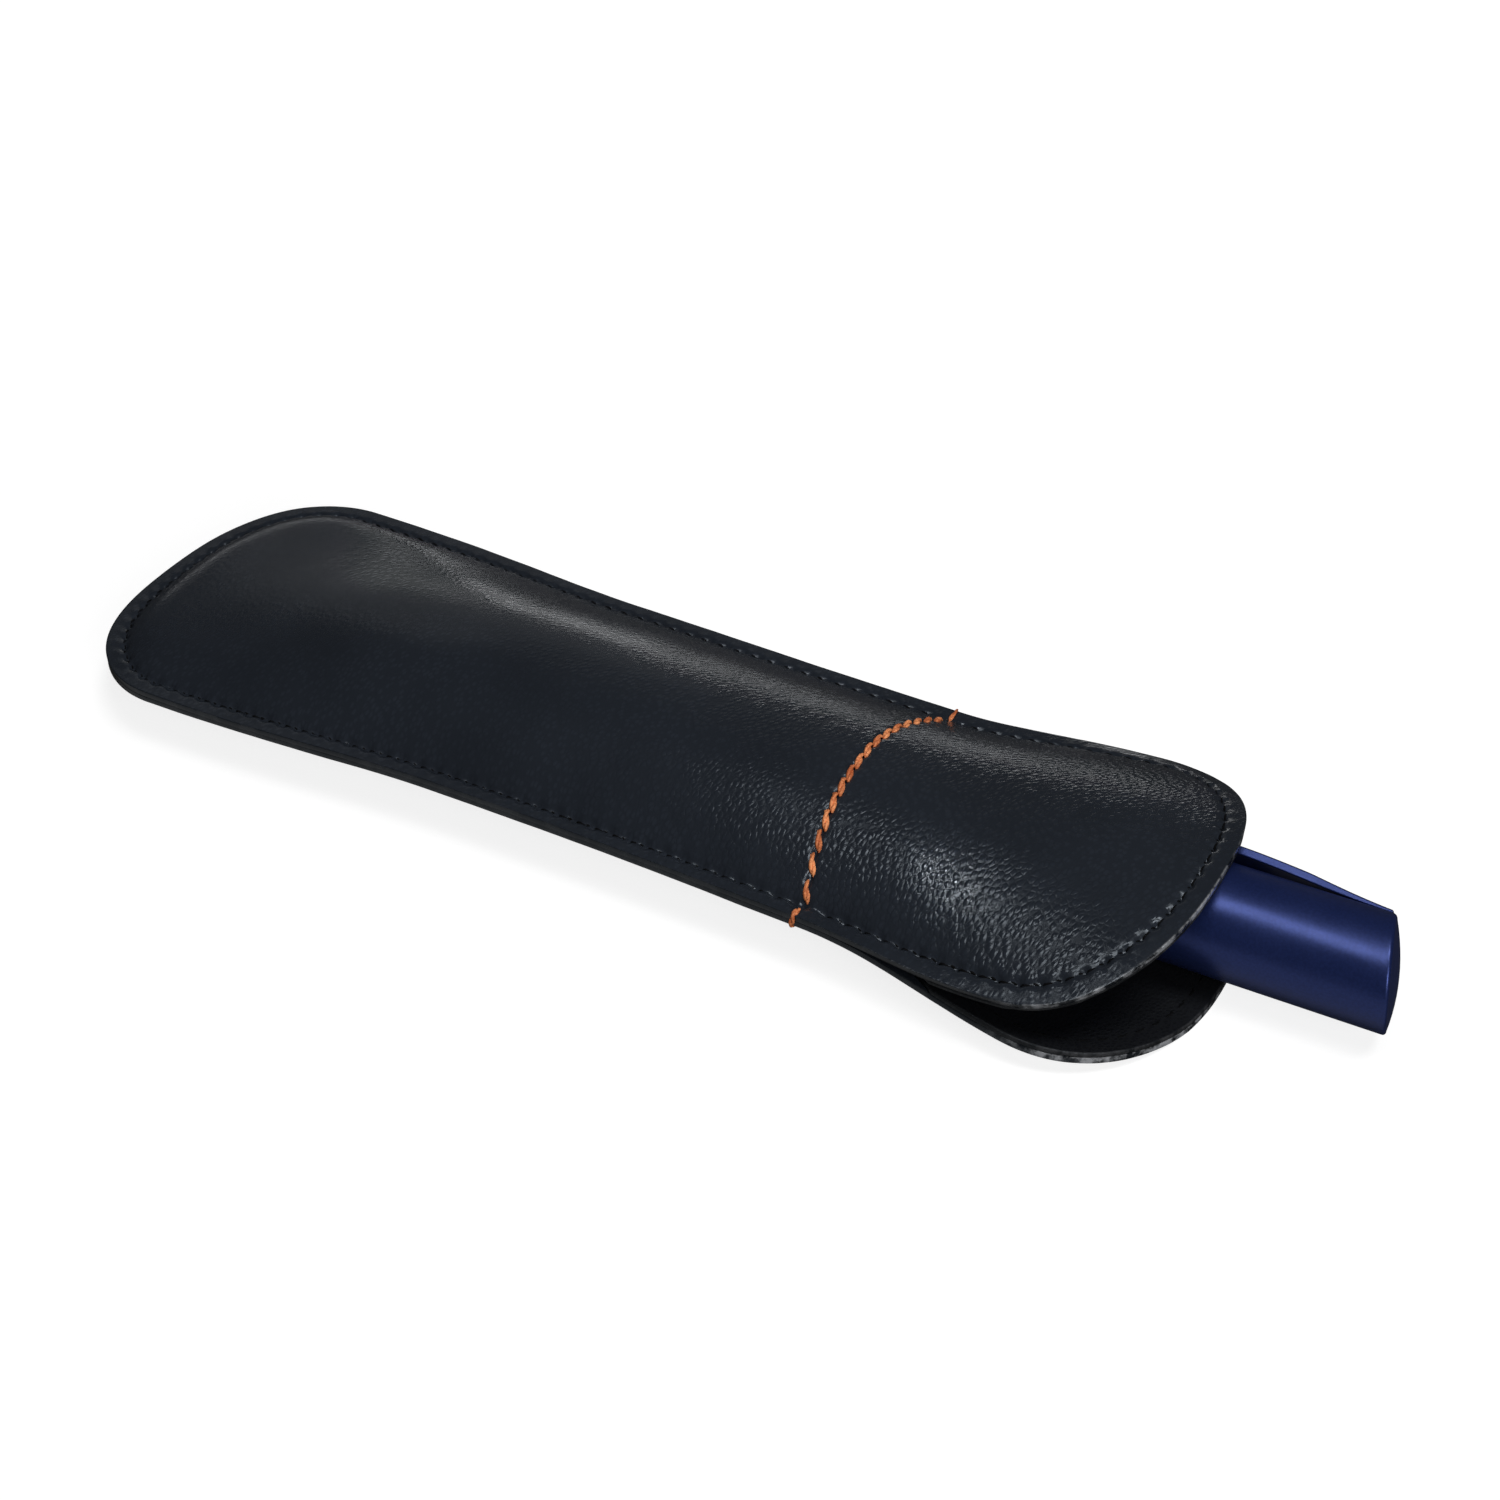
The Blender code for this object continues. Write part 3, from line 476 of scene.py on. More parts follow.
@dataclass(frozen=True)
class HardFinish:
    """Satin metal or moulded plastic with handling marks."""

    name: str
    colour: Colour
    low: float
    high: float
    metallic: float = 0.0
    texture: float = 2600.0
    depth: float = 0.004
    shade: float = 0.85
    shaded: Span = (0.35, 0.65)

    def build(self) -> bpy.types.Material:
        """Make the material.

        Returns:
            The material.
        """
        made, graph, shader = start_material(self.name, Metallic=self.metallic)
        height = handle(graph, shader, self.low, self.high, self.texture)
        tone = graph.ramp(height, *self.shaded)
        graph.link(graph.blend(tone, rgba(self.colour, self.shade), rgba(self.colour)), shader, "Base Color")
        graph.bump(height, self.depth, shader)
        return made


@dataclass(frozen=True)
class ClearFinish:
    """Clear plastic or glass."""

    name: str
    colour: Colour
    low: float
    high: float
    ior: float = 1.5
    texture: float = 900.0

    def build(self) -> bpy.types.Material:
        """Make the material.

        Returns:
            The material.
        """
        made, graph, shader = start_material(self.name, Transmission_Weight=1.0, IOR=self.ior)
        shader.inputs["Base Color"].default_value = rgba(self.colour)
        handle(graph, shader, self.low, self.high, self.texture)
        return made


Finish = LeatherFinish | ThreadFinish | HardFinish | ClearFinish

BLACK_LEATHER = LeatherFinish("black_leather")
# The facing's edge wear carries a fainter painted glint as well
LINING_LEATHER = LeatherFinish(
    "facing_leather", colour=(0.0036, 0.0036, 0.0048), worn_glint=(0.05, 0.05, 0.053), low=0.5, high=0.66,
    pebble=0.5, stretch=1.3, depth=0.06, calm=1.0, middling=1.0, bold=0.0, wear_and_glint=0.7,
)
BLACK_THREAD = ThreadFinish("black_thread", (0.004, 0.004, 0.005), (0.002, 0.002, 0.002), 0.85, 0.08)
ORANGE_THREAD = ThreadFinish("orange_thread", (0.93, 0.35, 0.14), (0.48, 0.12, 0.04))
NAVY_METAL = HardFinish("navy_metal", (0.022, 0.039, 0.16), 0.29, 0.36, metallic=0.6)
DARK_PLASTIC = HardFinish("dark_plastic", (0.02, 0.02, 0.025), 0.38, 0.5)
GREY_PLASTIC = HardFinish("grey_plastic", (0.45, 0.46, 0.48), 0.32, 0.42)
WHITE_PLASTIC = HardFinish("white_plastic", (0.78, 0.78, 0.76), 0.38, 0.48, shade=0.96)
CRIMP_METAL = HardFinish("crimp_aluminium", (0.62, 0.63, 0.65), 0.28, 0.4, metallic=1.0)
RUBBER = HardFinish("rubber", (0.10, 0.10, 0.11), 0.6, 0.75)
NUMERAL_INK = HardFinish("numeral_ink", (0.015, 0.015, 0.02), 0.45, 0.55)
CLEAR_PLASTIC = ClearFinish("clear_plastic", (0.93, 0.95, 0.96), 0.03, 0.09)
GLASS = ClearFinish("cartridge_glass", (0.97, 0.98, 0.98), 0.0, 0.03, ior=1.47)


# Helpers for pieces


@lru_cache(maxsize=None)
def material_of(finish: Finish) -> bpy.types.Material:
    """The finish's material, built once."""
    return finish.build()


def add_piece(name: str, bm: BMesh, finish: Finish, body: str) -> Piece:
    """Store a bmesh as a named piece, shade it smooth, dress it and let it ride.

    Args:
        name: The piece's name.
        bm: The shape, in the model's own place. It is freed.
        finish: The finish.
        body: The body that it moves with.

    Returns:
        The piece.
    """
    mesh = bpy.data.meshes.new(name)
    bm.to_mesh(mesh)
    bm.free()
    mesh.shade_smooth()
    mesh.materials.append(material_of(finish))
    piece = bpy.data.objects.new(name, mesh)
    bpy.context.collection.objects.link(piece)
    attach(piece, body)
    LOG.info("%s: %d faces", name, len(mesh.polygons))
    return piece


def thicken(piece: Piece, thickness: float) -> None:
    """Give a sheet its thickness, inwards."""
    wall = piece.modifiers.new("thickness", "SOLIDIFY")
    wall.thickness, wall.offset, wall.use_even_offset = thickness, -1.0, False


def round_edges(piece: Piece, width: float, segments: int, limit: float, harden: bool) -> None:
    """Round a piece's edges.

    Args:
        piece: The piece.
        width: Width of the rounding in metres.
        segments: Steps across it.
        limit: Angle in degrees from which an edge is rounded.
        harden: True where the faces beside it stay flat in shading.
    """
    edges = piece.modifiers.new("rounded edges", "BEVEL")
    edges.width, edges.segments, edges.harden_normals = width, segments, harden
    edges.limit_method, edges.angle_limit = "ANGLE", math.radians(limit)


def recalculate(bm: BMesh) -> None:
    """Turn all normals outwards."""
    bmesh.ops.recalc_face_normals(bm, faces=bm.faces[:])


def ease(t: Array) -> Array:
    """0 to 1 with level ends."""
    t = np.clip(t, 0.0, 1.0)
    return t * t * (3.0 - 2.0 * t)


def mix(a: Array | float, b: Array | float, t: Array | float) -> Array | float:
    """Straight blend from a to b."""
    return a + (b - a) * t


def clamp(t: float) -> float:
    """A value kept between 0 and 1."""
    return min(max(t, 0.0), 1.0)


def rounded_end(length: float, half: float, fullness: float, steps: int) -> Profile:
    """Quarter outline of a rounded end, from its middle to its side.

    Args:
        length: How far it reaches along.
        half: Half its width.
        fullness: 2 for an ellipse, more for squarer corners.
        steps: Steps along it, closer together at its start.

    Returns:
        Pairs of the distance in from the end and the distance from the middle line.
    """
    angles = [0.5 * math.pi * (k / steps) ** 1.15 for k in range(steps + 1)]
    return [(length * (1.0 - math.cos(a)), half * math.sin(a) ** (2.0 / fullness)) for a in angles]


def respaced(points: Profile, step: float) -> Array:
    """Points an even step apart along a closed flat path.

    Args:
        points: The path's corners.
        step: The wanted step.

    Returns:
        The new points, as an array of (u, v) rows.
    """
    line = np.array(points + points[:1])
    run = run_along(line)
    at = np.linspace(0.0, run[-1], max(int(round(run[-1] / step)), 2) + 1)
    return np.stack([np.interp(at, run, line[:, 0]), np.interp(at, run, line[:, 1])], axis=1)[:-1]


def run_along(line: Array) -> Array:
    """Distance along a path at each of its points."""
    return np.concatenate([[0.0], np.cumsum(np.linalg.norm(np.diff(line, axis=0), axis=1))])


# The leather's form


@dataclass(frozen=True)
class PouchForm:
    """Outer face of the two panels over the pen, in metres. Its sizes are the solids' own."""

    axis_height: float = 10.54 * MM
    crest: float = 20.34 * MM
    half_width: float = 29.8 * MM
    margin: float = 3.2 * MM
    stitch_u: float = 132.2 * MM
    tip_u: float = 186.1 * MM
    tongue: float = 53.9 * MM
    ramp: float = 73.7 * MM
    rest_x: float = 102.95 * MM
    end_round: float = 20.1 * MM
    end_fullness: float = 2.6
    tip_round: float = 22.0 * MM
    tip_fullness: float = 2.25
    gap: float = 0.3 * MM
    wall: float = 0.7 * MM
    seam_drop: float = 0.9 * MM
    seam_arch: float = 0.6 * MM
    crest_draw: float = 2.6 * MM
    near_fullness: float = 2.6
    far_fullness: float = 1.7
    belly_fullness: float = 2.2
    tongue_fullness: float = 2.0
    belly_press: float = 0.5 * MM
    puff_height: float = 1.8 * MM
    puff_rise: float = 2.5 * MM
    sway: float = 0.4 * MM
    swell: float = 2.2 * MM
    lift_near: float = 3.0 * MM
    lift_far: float = 2.4 * MM
    dip_near: float = 0.8 * MM
    dip_far: float = 0.45 * MM
    back_tip: float = 3.1 * MM
    back_early: float = 8.0 * MM
    back_dip: float = 0.6 * MM
    # Facing: its root before the mouth, the narrow stretch, the widening, its corners and margin
    root_back: float = 2.5 * MM
    root_hold: float = 3.0 * MM
    root_run: float = 18.0 * MM
    root_corner: float = 2.5 * MM
    root_margin: float = 1.6 * MM

    @property
    def arch_half(self) -> float:
        """Half width of the arch between the side seams."""
        return self.half_width - self.margin

    def closed(self, half_outline: Profile, step: float) -> Array:
        """Close a far side's outline round a tongue's tip and back along the near side.

        Args:
            half_outline: The far side's outline up to the tip.
            step: Distance between the outline's points.

        Returns:
            The outline, as an array of (u, v) rows.
        """
        tip = rounded_end(self.tip_round, self.half_width, self.tip_fullness, 160)
        far = half_outline + [(self.tip_u - d, v) for d, v in reversed(tip)]
        return respaced(far + [(u, -v) for u, v in reversed(far[1:-1])], step)

    def outline(self, step: float) -> Array:
        """Flat outline of a panel with its tongue, from the closed end's middle and round."""
        return self.closed(rounded_end(self.end_round, self.half_width, self.end_fullness, 160), step)

    def facing_outline(self, step: float) -> Array:
        """Flat outline of a facing, narrow at its root, from its root's middle and round.

        Args:
            step: Distance between its points.

        Returns:
            The outline, as an array of (u, v) rows.
        """
        root, narrow = self.stitch_u - self.root_back, self.arch_half - self.root_margin
        start, shares = self.stitch_u + self.root_hold, [k / 24 for k in range(25)]
        widening = [(start + self.root_run * s, mix(narrow, self.half_width, s * s)) for s in shares]
        corner, turns = self.root_corner, [k * math.pi / 16 for k in reversed(range(9))]
        bend = [(root + corner * (1.0 - math.sin(a)), narrow - corner * (1.0 - math.cos(a))) for a in turns]
        return self.closed([(root, 0.0)] + bend + widening, step)

    def end_distance(self, u: Array, v: Array) -> Array:
        """Distance in from the seam line round the pocket.

        Args:
            u: Distances from the closed end.
            v: Distances from the middle line.

        Returns:
            The distances, 0 outside the seam.
        """
        curve = rounded_end(self.end_round, self.half_width, self.end_fullness, 48)
        edge = np.array(curve + [(self.stitch_u, self.half_width)])
        best = np.full(u.shape, self.half_width)
        for (su, sv), (cu, cv) in zip(edge[:-1], np.diff(edge, axis=0)):
            share = np.clip(((u - su) * cu + (np.abs(v) - sv) * cv) / (cu * cu + cv * cv), 0.0, 1.0)
            best = np.minimum(best, np.hypot(u - su - cu * share, np.abs(v) - sv - cv * share))
        return np.maximum(best - self.margin, 0.0)

    def seam_plane(self, u: Array) -> Array:
        """Height of the plane between the panels."""
        share = np.clip(u / self.stitch_u, 0.0, 1.0)
        return self.axis_height - self.seam_drop + self.seam_arch * np.sin(math.pi * share)

    def puff(self, u: Array, v: Array) -> Array:
        """Fullness of the empty end."""
        full = 1.0 - np.exp(-self.end_distance(u, v) / self.puff_rise)
        return self.puff_height * (1.0 - ease(u / self.ramp)) * full

    def spread(self, u: Array, v: Array, lift: Array, opened: Array, swell: Array | float) -> Array:
        """Sideways place of flat points once their panel is arched.

        Args:
            u: Distances from the closed end.
            v: Distances from the middle line.
            lift: How high the arch stands there.
            opened: How far the tongue is open there, from 0 to 1.
            swell: How much wider the tongue is there.

        Returns:
            The places across the case.
        """
        flat = self.half_width - self.margin * (1.0 - opened)
        half = flat - lift * lift / (1.5 * flat) + self.margin * (1.0 - opened) + swell
        sway = self.sway * np.sin(FULL_TURN * np.minimum(u / self.stitch_u, 1.0))
        return v * (half + sway) / self.half_width

    def arch(self, v: Array, fullness: Array | float, opened: Array) -> Array:
        """Cross section: 1 on the middle line, 0 at the seam or at a tongue's edge.

        Args:
            v: Distances from the middle line.
            fullness: 2 for a parabola, more for a flatter top.
            opened: How far the tongue is open there, from 0 to 1.

        Returns:
            The shares of the arch's height.
        """
        sewn = 1.0 - np.minimum(np.abs(v) / self.arch_half, 1.0) ** fullness
        free = 1.0 - np.minimum(np.abs(v) / self.half_width, 1.0) ** self.tongue_fullness
        return mix(sewn, free, opened)

    def outer(self, face: Face, u: Array, v: Array) -> Array:
        """Points of a panel's outer face.

        Args:
            face: Which panel.
            u: Distances from the closed end.
            v: Distances from the middle line.

        Returns:
            An array of points in the model's frame.
        """
        rise = ease(u / self.ramp)
        if face is Face.FRONT:
            opened = ease((u - self.stitch_u) / self.tongue)
            middle = 4.0 * opened * (1.0 - opened)
            far = v > 0.0
            lift = np.where(far, self.lift_far, self.lift_near)
            dip = np.where(far, self.dip_far, self.dip_near)
            fullness = np.where(far, self.far_fullness, self.near_fullness)
            plane = self.seam_plane(u) + lift * opened - dip * middle
            edge = plane + 0.5 * self.gap + self.wall
            shape = self.arch(v, fullness, opened)
            height = edge + (self.crest - edge) * rise * shape + self.puff(u, v)
            across = self.spread(u, v, (self.crest - plane) * rise, opened, self.swell * middle)
            along = u - self.crest_draw * shape * rise
        else:
            opened = ease((u - self.stitch_u) / (self.tongue - self.back_early))
            middle = 4.0 * opened * (1.0 - opened)
            root = self.seam_plane(u) - 0.5 * self.gap - self.wall
            edge = mix(root, self.back_tip, opened) - self.back_dip * middle
            shape = self.arch(v, self.belly_fullness, opened)
            height = edge - (edge + self.belly_press) * rise * shape - self.puff(u, v)
            height = np.maximum(height, 0.0)
            lift = mix((self.crest - self.seam_plane(u)) * rise, edge, opened)
            across = self.spread(u, v, lift, opened, 0.0)
            along = u
        return np.stack([along - self.rest_x, across, height], axis=-1)

    def normal(self, face: Face, u: Array, v: Array) -> Array:
        """Unit normals of a panel's outer face, pointing out of the case.

        Args:
            face: Which panel.
            u: Distances from the closed end.
            v: Distances from the middle line.

        Returns:
            An array of normals.
        """
        step = 0.05 * MM
        along = self.outer(face, u + step, v) - self.outer(face, u - step, v)
        across = self.outer(face, u, v + step) - self.outer(face, u, v - step)
        square = np.cross(along, across)
        square /= np.linalg.norm(square, axis=-1, keepdims=True)
        return square if face is Face.FRONT else -square


# Seams


@dataclass
class Seam:
    """A line of stitches on the leather: its flat path and the holes along it."""

    path: Array
    pitch: float
    run: Array = field(init=False)

    def __post_init__(self) -> None:
        """Measure the path."""
        self.run = run_along(self.path)

    def at(self, s: Array) -> tuple[Array, Array]:
        """Flat coordinates at distances along the path."""
        return np.interp(s, self.run, self.path[:, 0]), np.interp(s, self.run, self.path[:, 1])

    def stitches(self) -> Profile:
        """Start and end of each stitch along the path."""
        return [(k * self.pitch, (k + 1) * self.pitch) for k in range(int(self.run[-1] / self.pitch))]

    def measure(self, u: Array, v: Array, reach: float) -> tuple[Array, Array]:
        """How far points lie from the path, and where along it.

        Args:
            u: Distances from the closed end.
            v: Distances from the middle line.
            reach: Distance past which a point is left out.

        Returns:
            Distances from the path (infinite past the reach) and distances along it.
        """
        step = 0.1 * MM
        fine = np.arange(0.0, self.run[-1], step)
        tree = KDTree(len(fine))
        for k, (a, b) in enumerate(zip(*self.at(fine))):
            tree.insert((a, b, 0.0), k)
        tree.balance()
        away, along = np.full(u.shape, np.inf), np.zeros(u.shape)
        for k, (a, b) in enumerate(zip(u, v)):
            _, index, distance = tree.find((a, b, 0.0))
            if distance < reach:
                away[k], along[k] = distance, fine[index]
        return away, along


def inset_path(outline: Array, inset: float) -> Array:
    """Move an outline in, square to itself.

    Args:
        outline: The closed outline's points.
        inset: How far it moves.

    Returns:
        The path, which ends where it starts.
    """
    chord = np.roll(outline, -1, axis=0) - np.roll(outline, 1, axis=0)
    chord /= np.linalg.norm(chord, axis=1, keepdims=True)
    moved = outline + np.stack([chord[:, 1], -chord[:, 0]], axis=1) * inset
    return np.concatenate([moved, moved[:1]])


def plied(bm: BMesh, length: float, radius: float, turns: float, sides: int, stations: int) -> None:
    """Add two plies twisted about +X, centred on the origin.

    Args:
        bm: The mesh that they are added to.
        length: Length of the thread.
        radius: Its outer radius.
        turns: Turns of twist along it.
        sides: Sides of a ply.
        stations: Steps along it.
    """
    ply, off_middle = 0.6 * radius, 0.42 * radius
    for start in (0.0, math.pi):
        place = (
            Matrix.Rotation(start, 4, "X")
            @ Matrix.Translation((-0.5 * length, 0.0, off_middle))
            @ Matrix.Rotation(0.5 * math.pi, 4, "Y")
        )
        ring = bmesh.ops.create_circle(bm, cap_ends=True, segments=sides, radius=ply, matrix=place)
        faces = {f for vert in ring["verts"] for f in vert.link_faces}
        bmesh.ops.spin(
            bm, geom=ring["verts"] + list({e for f in faces for e in f.edges}) + list(faces),
            cent=(0.0, 0.0, 0.0), axis=(1.0, 0.0, 0.0), dvec=(length / stations, 0.0, 0.0),
            angle=FULL_TURN * turns, steps=stations,
        )
    recalculate(bm)


@dataclass
class StitchShape:
    """One stitch of two twisted plies, lying along +X with its ends sunk. Sizes in metres."""

    length: float
    radius: float
    turns: float = 0.75
    sides: int = 7
    stations: int = 10
    sink: float = 0.9
    narrow: float = 0.45

    def mesh(self) -> bpy.types.Mesh:
        """Build the stitch once.

        Returns:
            A mesh that is copied for every stitch.
        """
        bm = bmesh.new()
        plied(bm, self.length, self.radius, self.turns, self.sides, self.stations)
        for vert in bm.verts:
            share = vert.co.x / (0.5 * self.length)
            taper = 1.0 - self.narrow * share ** 4
            vert.co.y *= taper
            vert.co.z = vert.co.z * taper - self.sink * self.radius * share ** 4
        made = bpy.data.meshes.new("stitch_pattern")
        bm.to_mesh(made)
        bm.free()
        return made


@dataclass
class StitchLine:
    """Places a stitch in every pair of holes of a seam, on one face of the leather."""

    name: str
    form: PouchForm
    face: Face
    radius: float
    layer: Layer = Layer.OUTSIDE
    finish: ThreadFinish = BLACK_THREAD
    depth: float = 0.0
    sunk: float = 0.1 * MM
    slant: float = 6.0
    fill: float = 0.86
    uneven: float = 0.5

    def surface(self, u: Array, v: Array) -> tuple[Array, Array]:
        """Find the face that the thread lies on.

        Args:
            u: Distances from the closed end.
            v: Distances from the middle line.

        Returns:
            Its points and outward normals.
        """
        square = self.form.normal(self.face, u, v)
        spot = self.form.outer(self.face, u, v) - square * self.depth
        return (spot, square) if self.layer is Layer.OUTSIDE else (spot, -square)

    def build(self, seam: Seam, replaces: tuple[str, ...]) -> None:
        """Make all the stitches of a seam as one piece.

        Args:
            seam: The seam to sew.
            replaces: The CAD nodes that the stitches stand for.
        """
        pattern = StitchShape(seam.pitch * self.fill, self.radius).mesh()
        pairs = np.array(seam.stitches())
        starts, ends = (self.surface(*seam.at(pairs[:, side]))[0] for side in (0, 1))
        middles, squares = self.surface(*seam.at(pairs.mean(axis=1)))
        bm = bmesh.new()
        for k, (start, end) in enumerate(zip(starts, ends)):
            before = len(bm.verts)
            bm.from_mesh(pattern)
            bm.verts.ensure_lookup_table()
            axis_x, axis_z, middle = Vector(end - start).normalized(), Vector(squares[k]), Vector(middles[k])
            axis_y = axis_z.cross(axis_x).normalized()
            axis_z = axis_x.cross(axis_y)
            wobble = noise.noise(Vector((k * 1.7, 3.1, 0.4)))
            hollow = (0.5 * Vector(start + end) - middle).dot(axis_z)
            spot = middle + axis_z * (max(hollow, 0.0) - self.sunk)
            basis = Matrix((axis_x, axis_y, axis_z)).transposed().to_4x4()
            turn = Matrix.Rotation(math.radians(self.slant) * (1.0 + self.uneven * wobble), 4, "Z")
            place = Matrix.Translation(spot) @ basis @ turn
            bmesh.ops.transform(bm, matrix=place, verts=bm.verts[before:])
        bpy.data.meshes.remove(pattern)
        piece = add_piece(self.name, bm, self.finish, "pouch")
        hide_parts(*replaces)


@dataclass
class EdgeTack:
    """A contrast stitch that wraps both panels at the mouth."""

    name: str
    form: PouchForm
    side: float
    radius: float
    reach: float
    shift: float = -0.35 * MM
    apart: float = 0.12 * MM
    bulge: float = 0.34 * MM
    edge_gap: float = 0.15 * MM
    sinking: float = 0.5 * MM
    heights: tuple[float, ...] = (0.22, 0.2, -0.35)
    stops: int = 9
    turns: float = 1.5
    sides: int = 8
    stations: int = 22

    def path(self) -> list[Vector]:
        """Trace the thread's middle line.

        Returns:
            Points from the front face round the edge to the back face.
        """
        points = []
        inward = np.linspace(self.reach, self.edge_gap, self.stops)
        lift = np.interp(inward, [0.0, self.reach - self.sinking, self.reach], self.heights) * MM
        for face, order in ((Face.FRONT, 1), (Face.BACK, -1)):
            v = self.side * (self.form.half_width - inward)
            u = np.full(v.shape, self.form.stitch_u + self.shift) + order * self.apart
            spots = self.form.outer(face, u, v) + self.form.normal(face, u, v) * lift[:, None]
            points += [Vector(spot) for spot in spots[::order]]
        middle = 0.5 * (points[self.stops - 1] + points[self.stops])
        middle.y += self.side * self.bulge
        points.insert(self.stops, middle)
        return points

    def build(self, replaces: str) -> None:
        """Make the tack.

        Args:
            replaces: The CAD node that it stands for.
        """
        path = self.path()
        run = [0.0]
        for a, b in zip(path, path[1:]):
            run.append(run[-1] + (b - a).length)
        bm = bmesh.new()
        plied(bm, run[-1], self.radius, self.turns, self.sides, self.stations)
        wide = Vector((1.0, 0.0, 0.0))
        for vert in bm.verts:
            s = min(max(vert.co.x + 0.5 * run[-1], 0.0), run[-1])
            k = min(max(int(np.searchsorted(run, s)) - 1, 0), len(path) - 2)
            share = (s - run[k]) / (run[k + 1] - run[k])
            ahead = (path[min(k + 2, len(path) - 1)] - path[max(k - 1, 0)]).normalized()
            up = wide.cross(ahead).normalized()
            vert.co = path[k].lerp(path[k + 1], share) + wide * vert.co.y + up * vert.co.z
        recalculate(bm)
        piece = add_piece(self.name, bm, ORANGE_THREAD, "pouch")
        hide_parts(replaces)


# Leather pieces


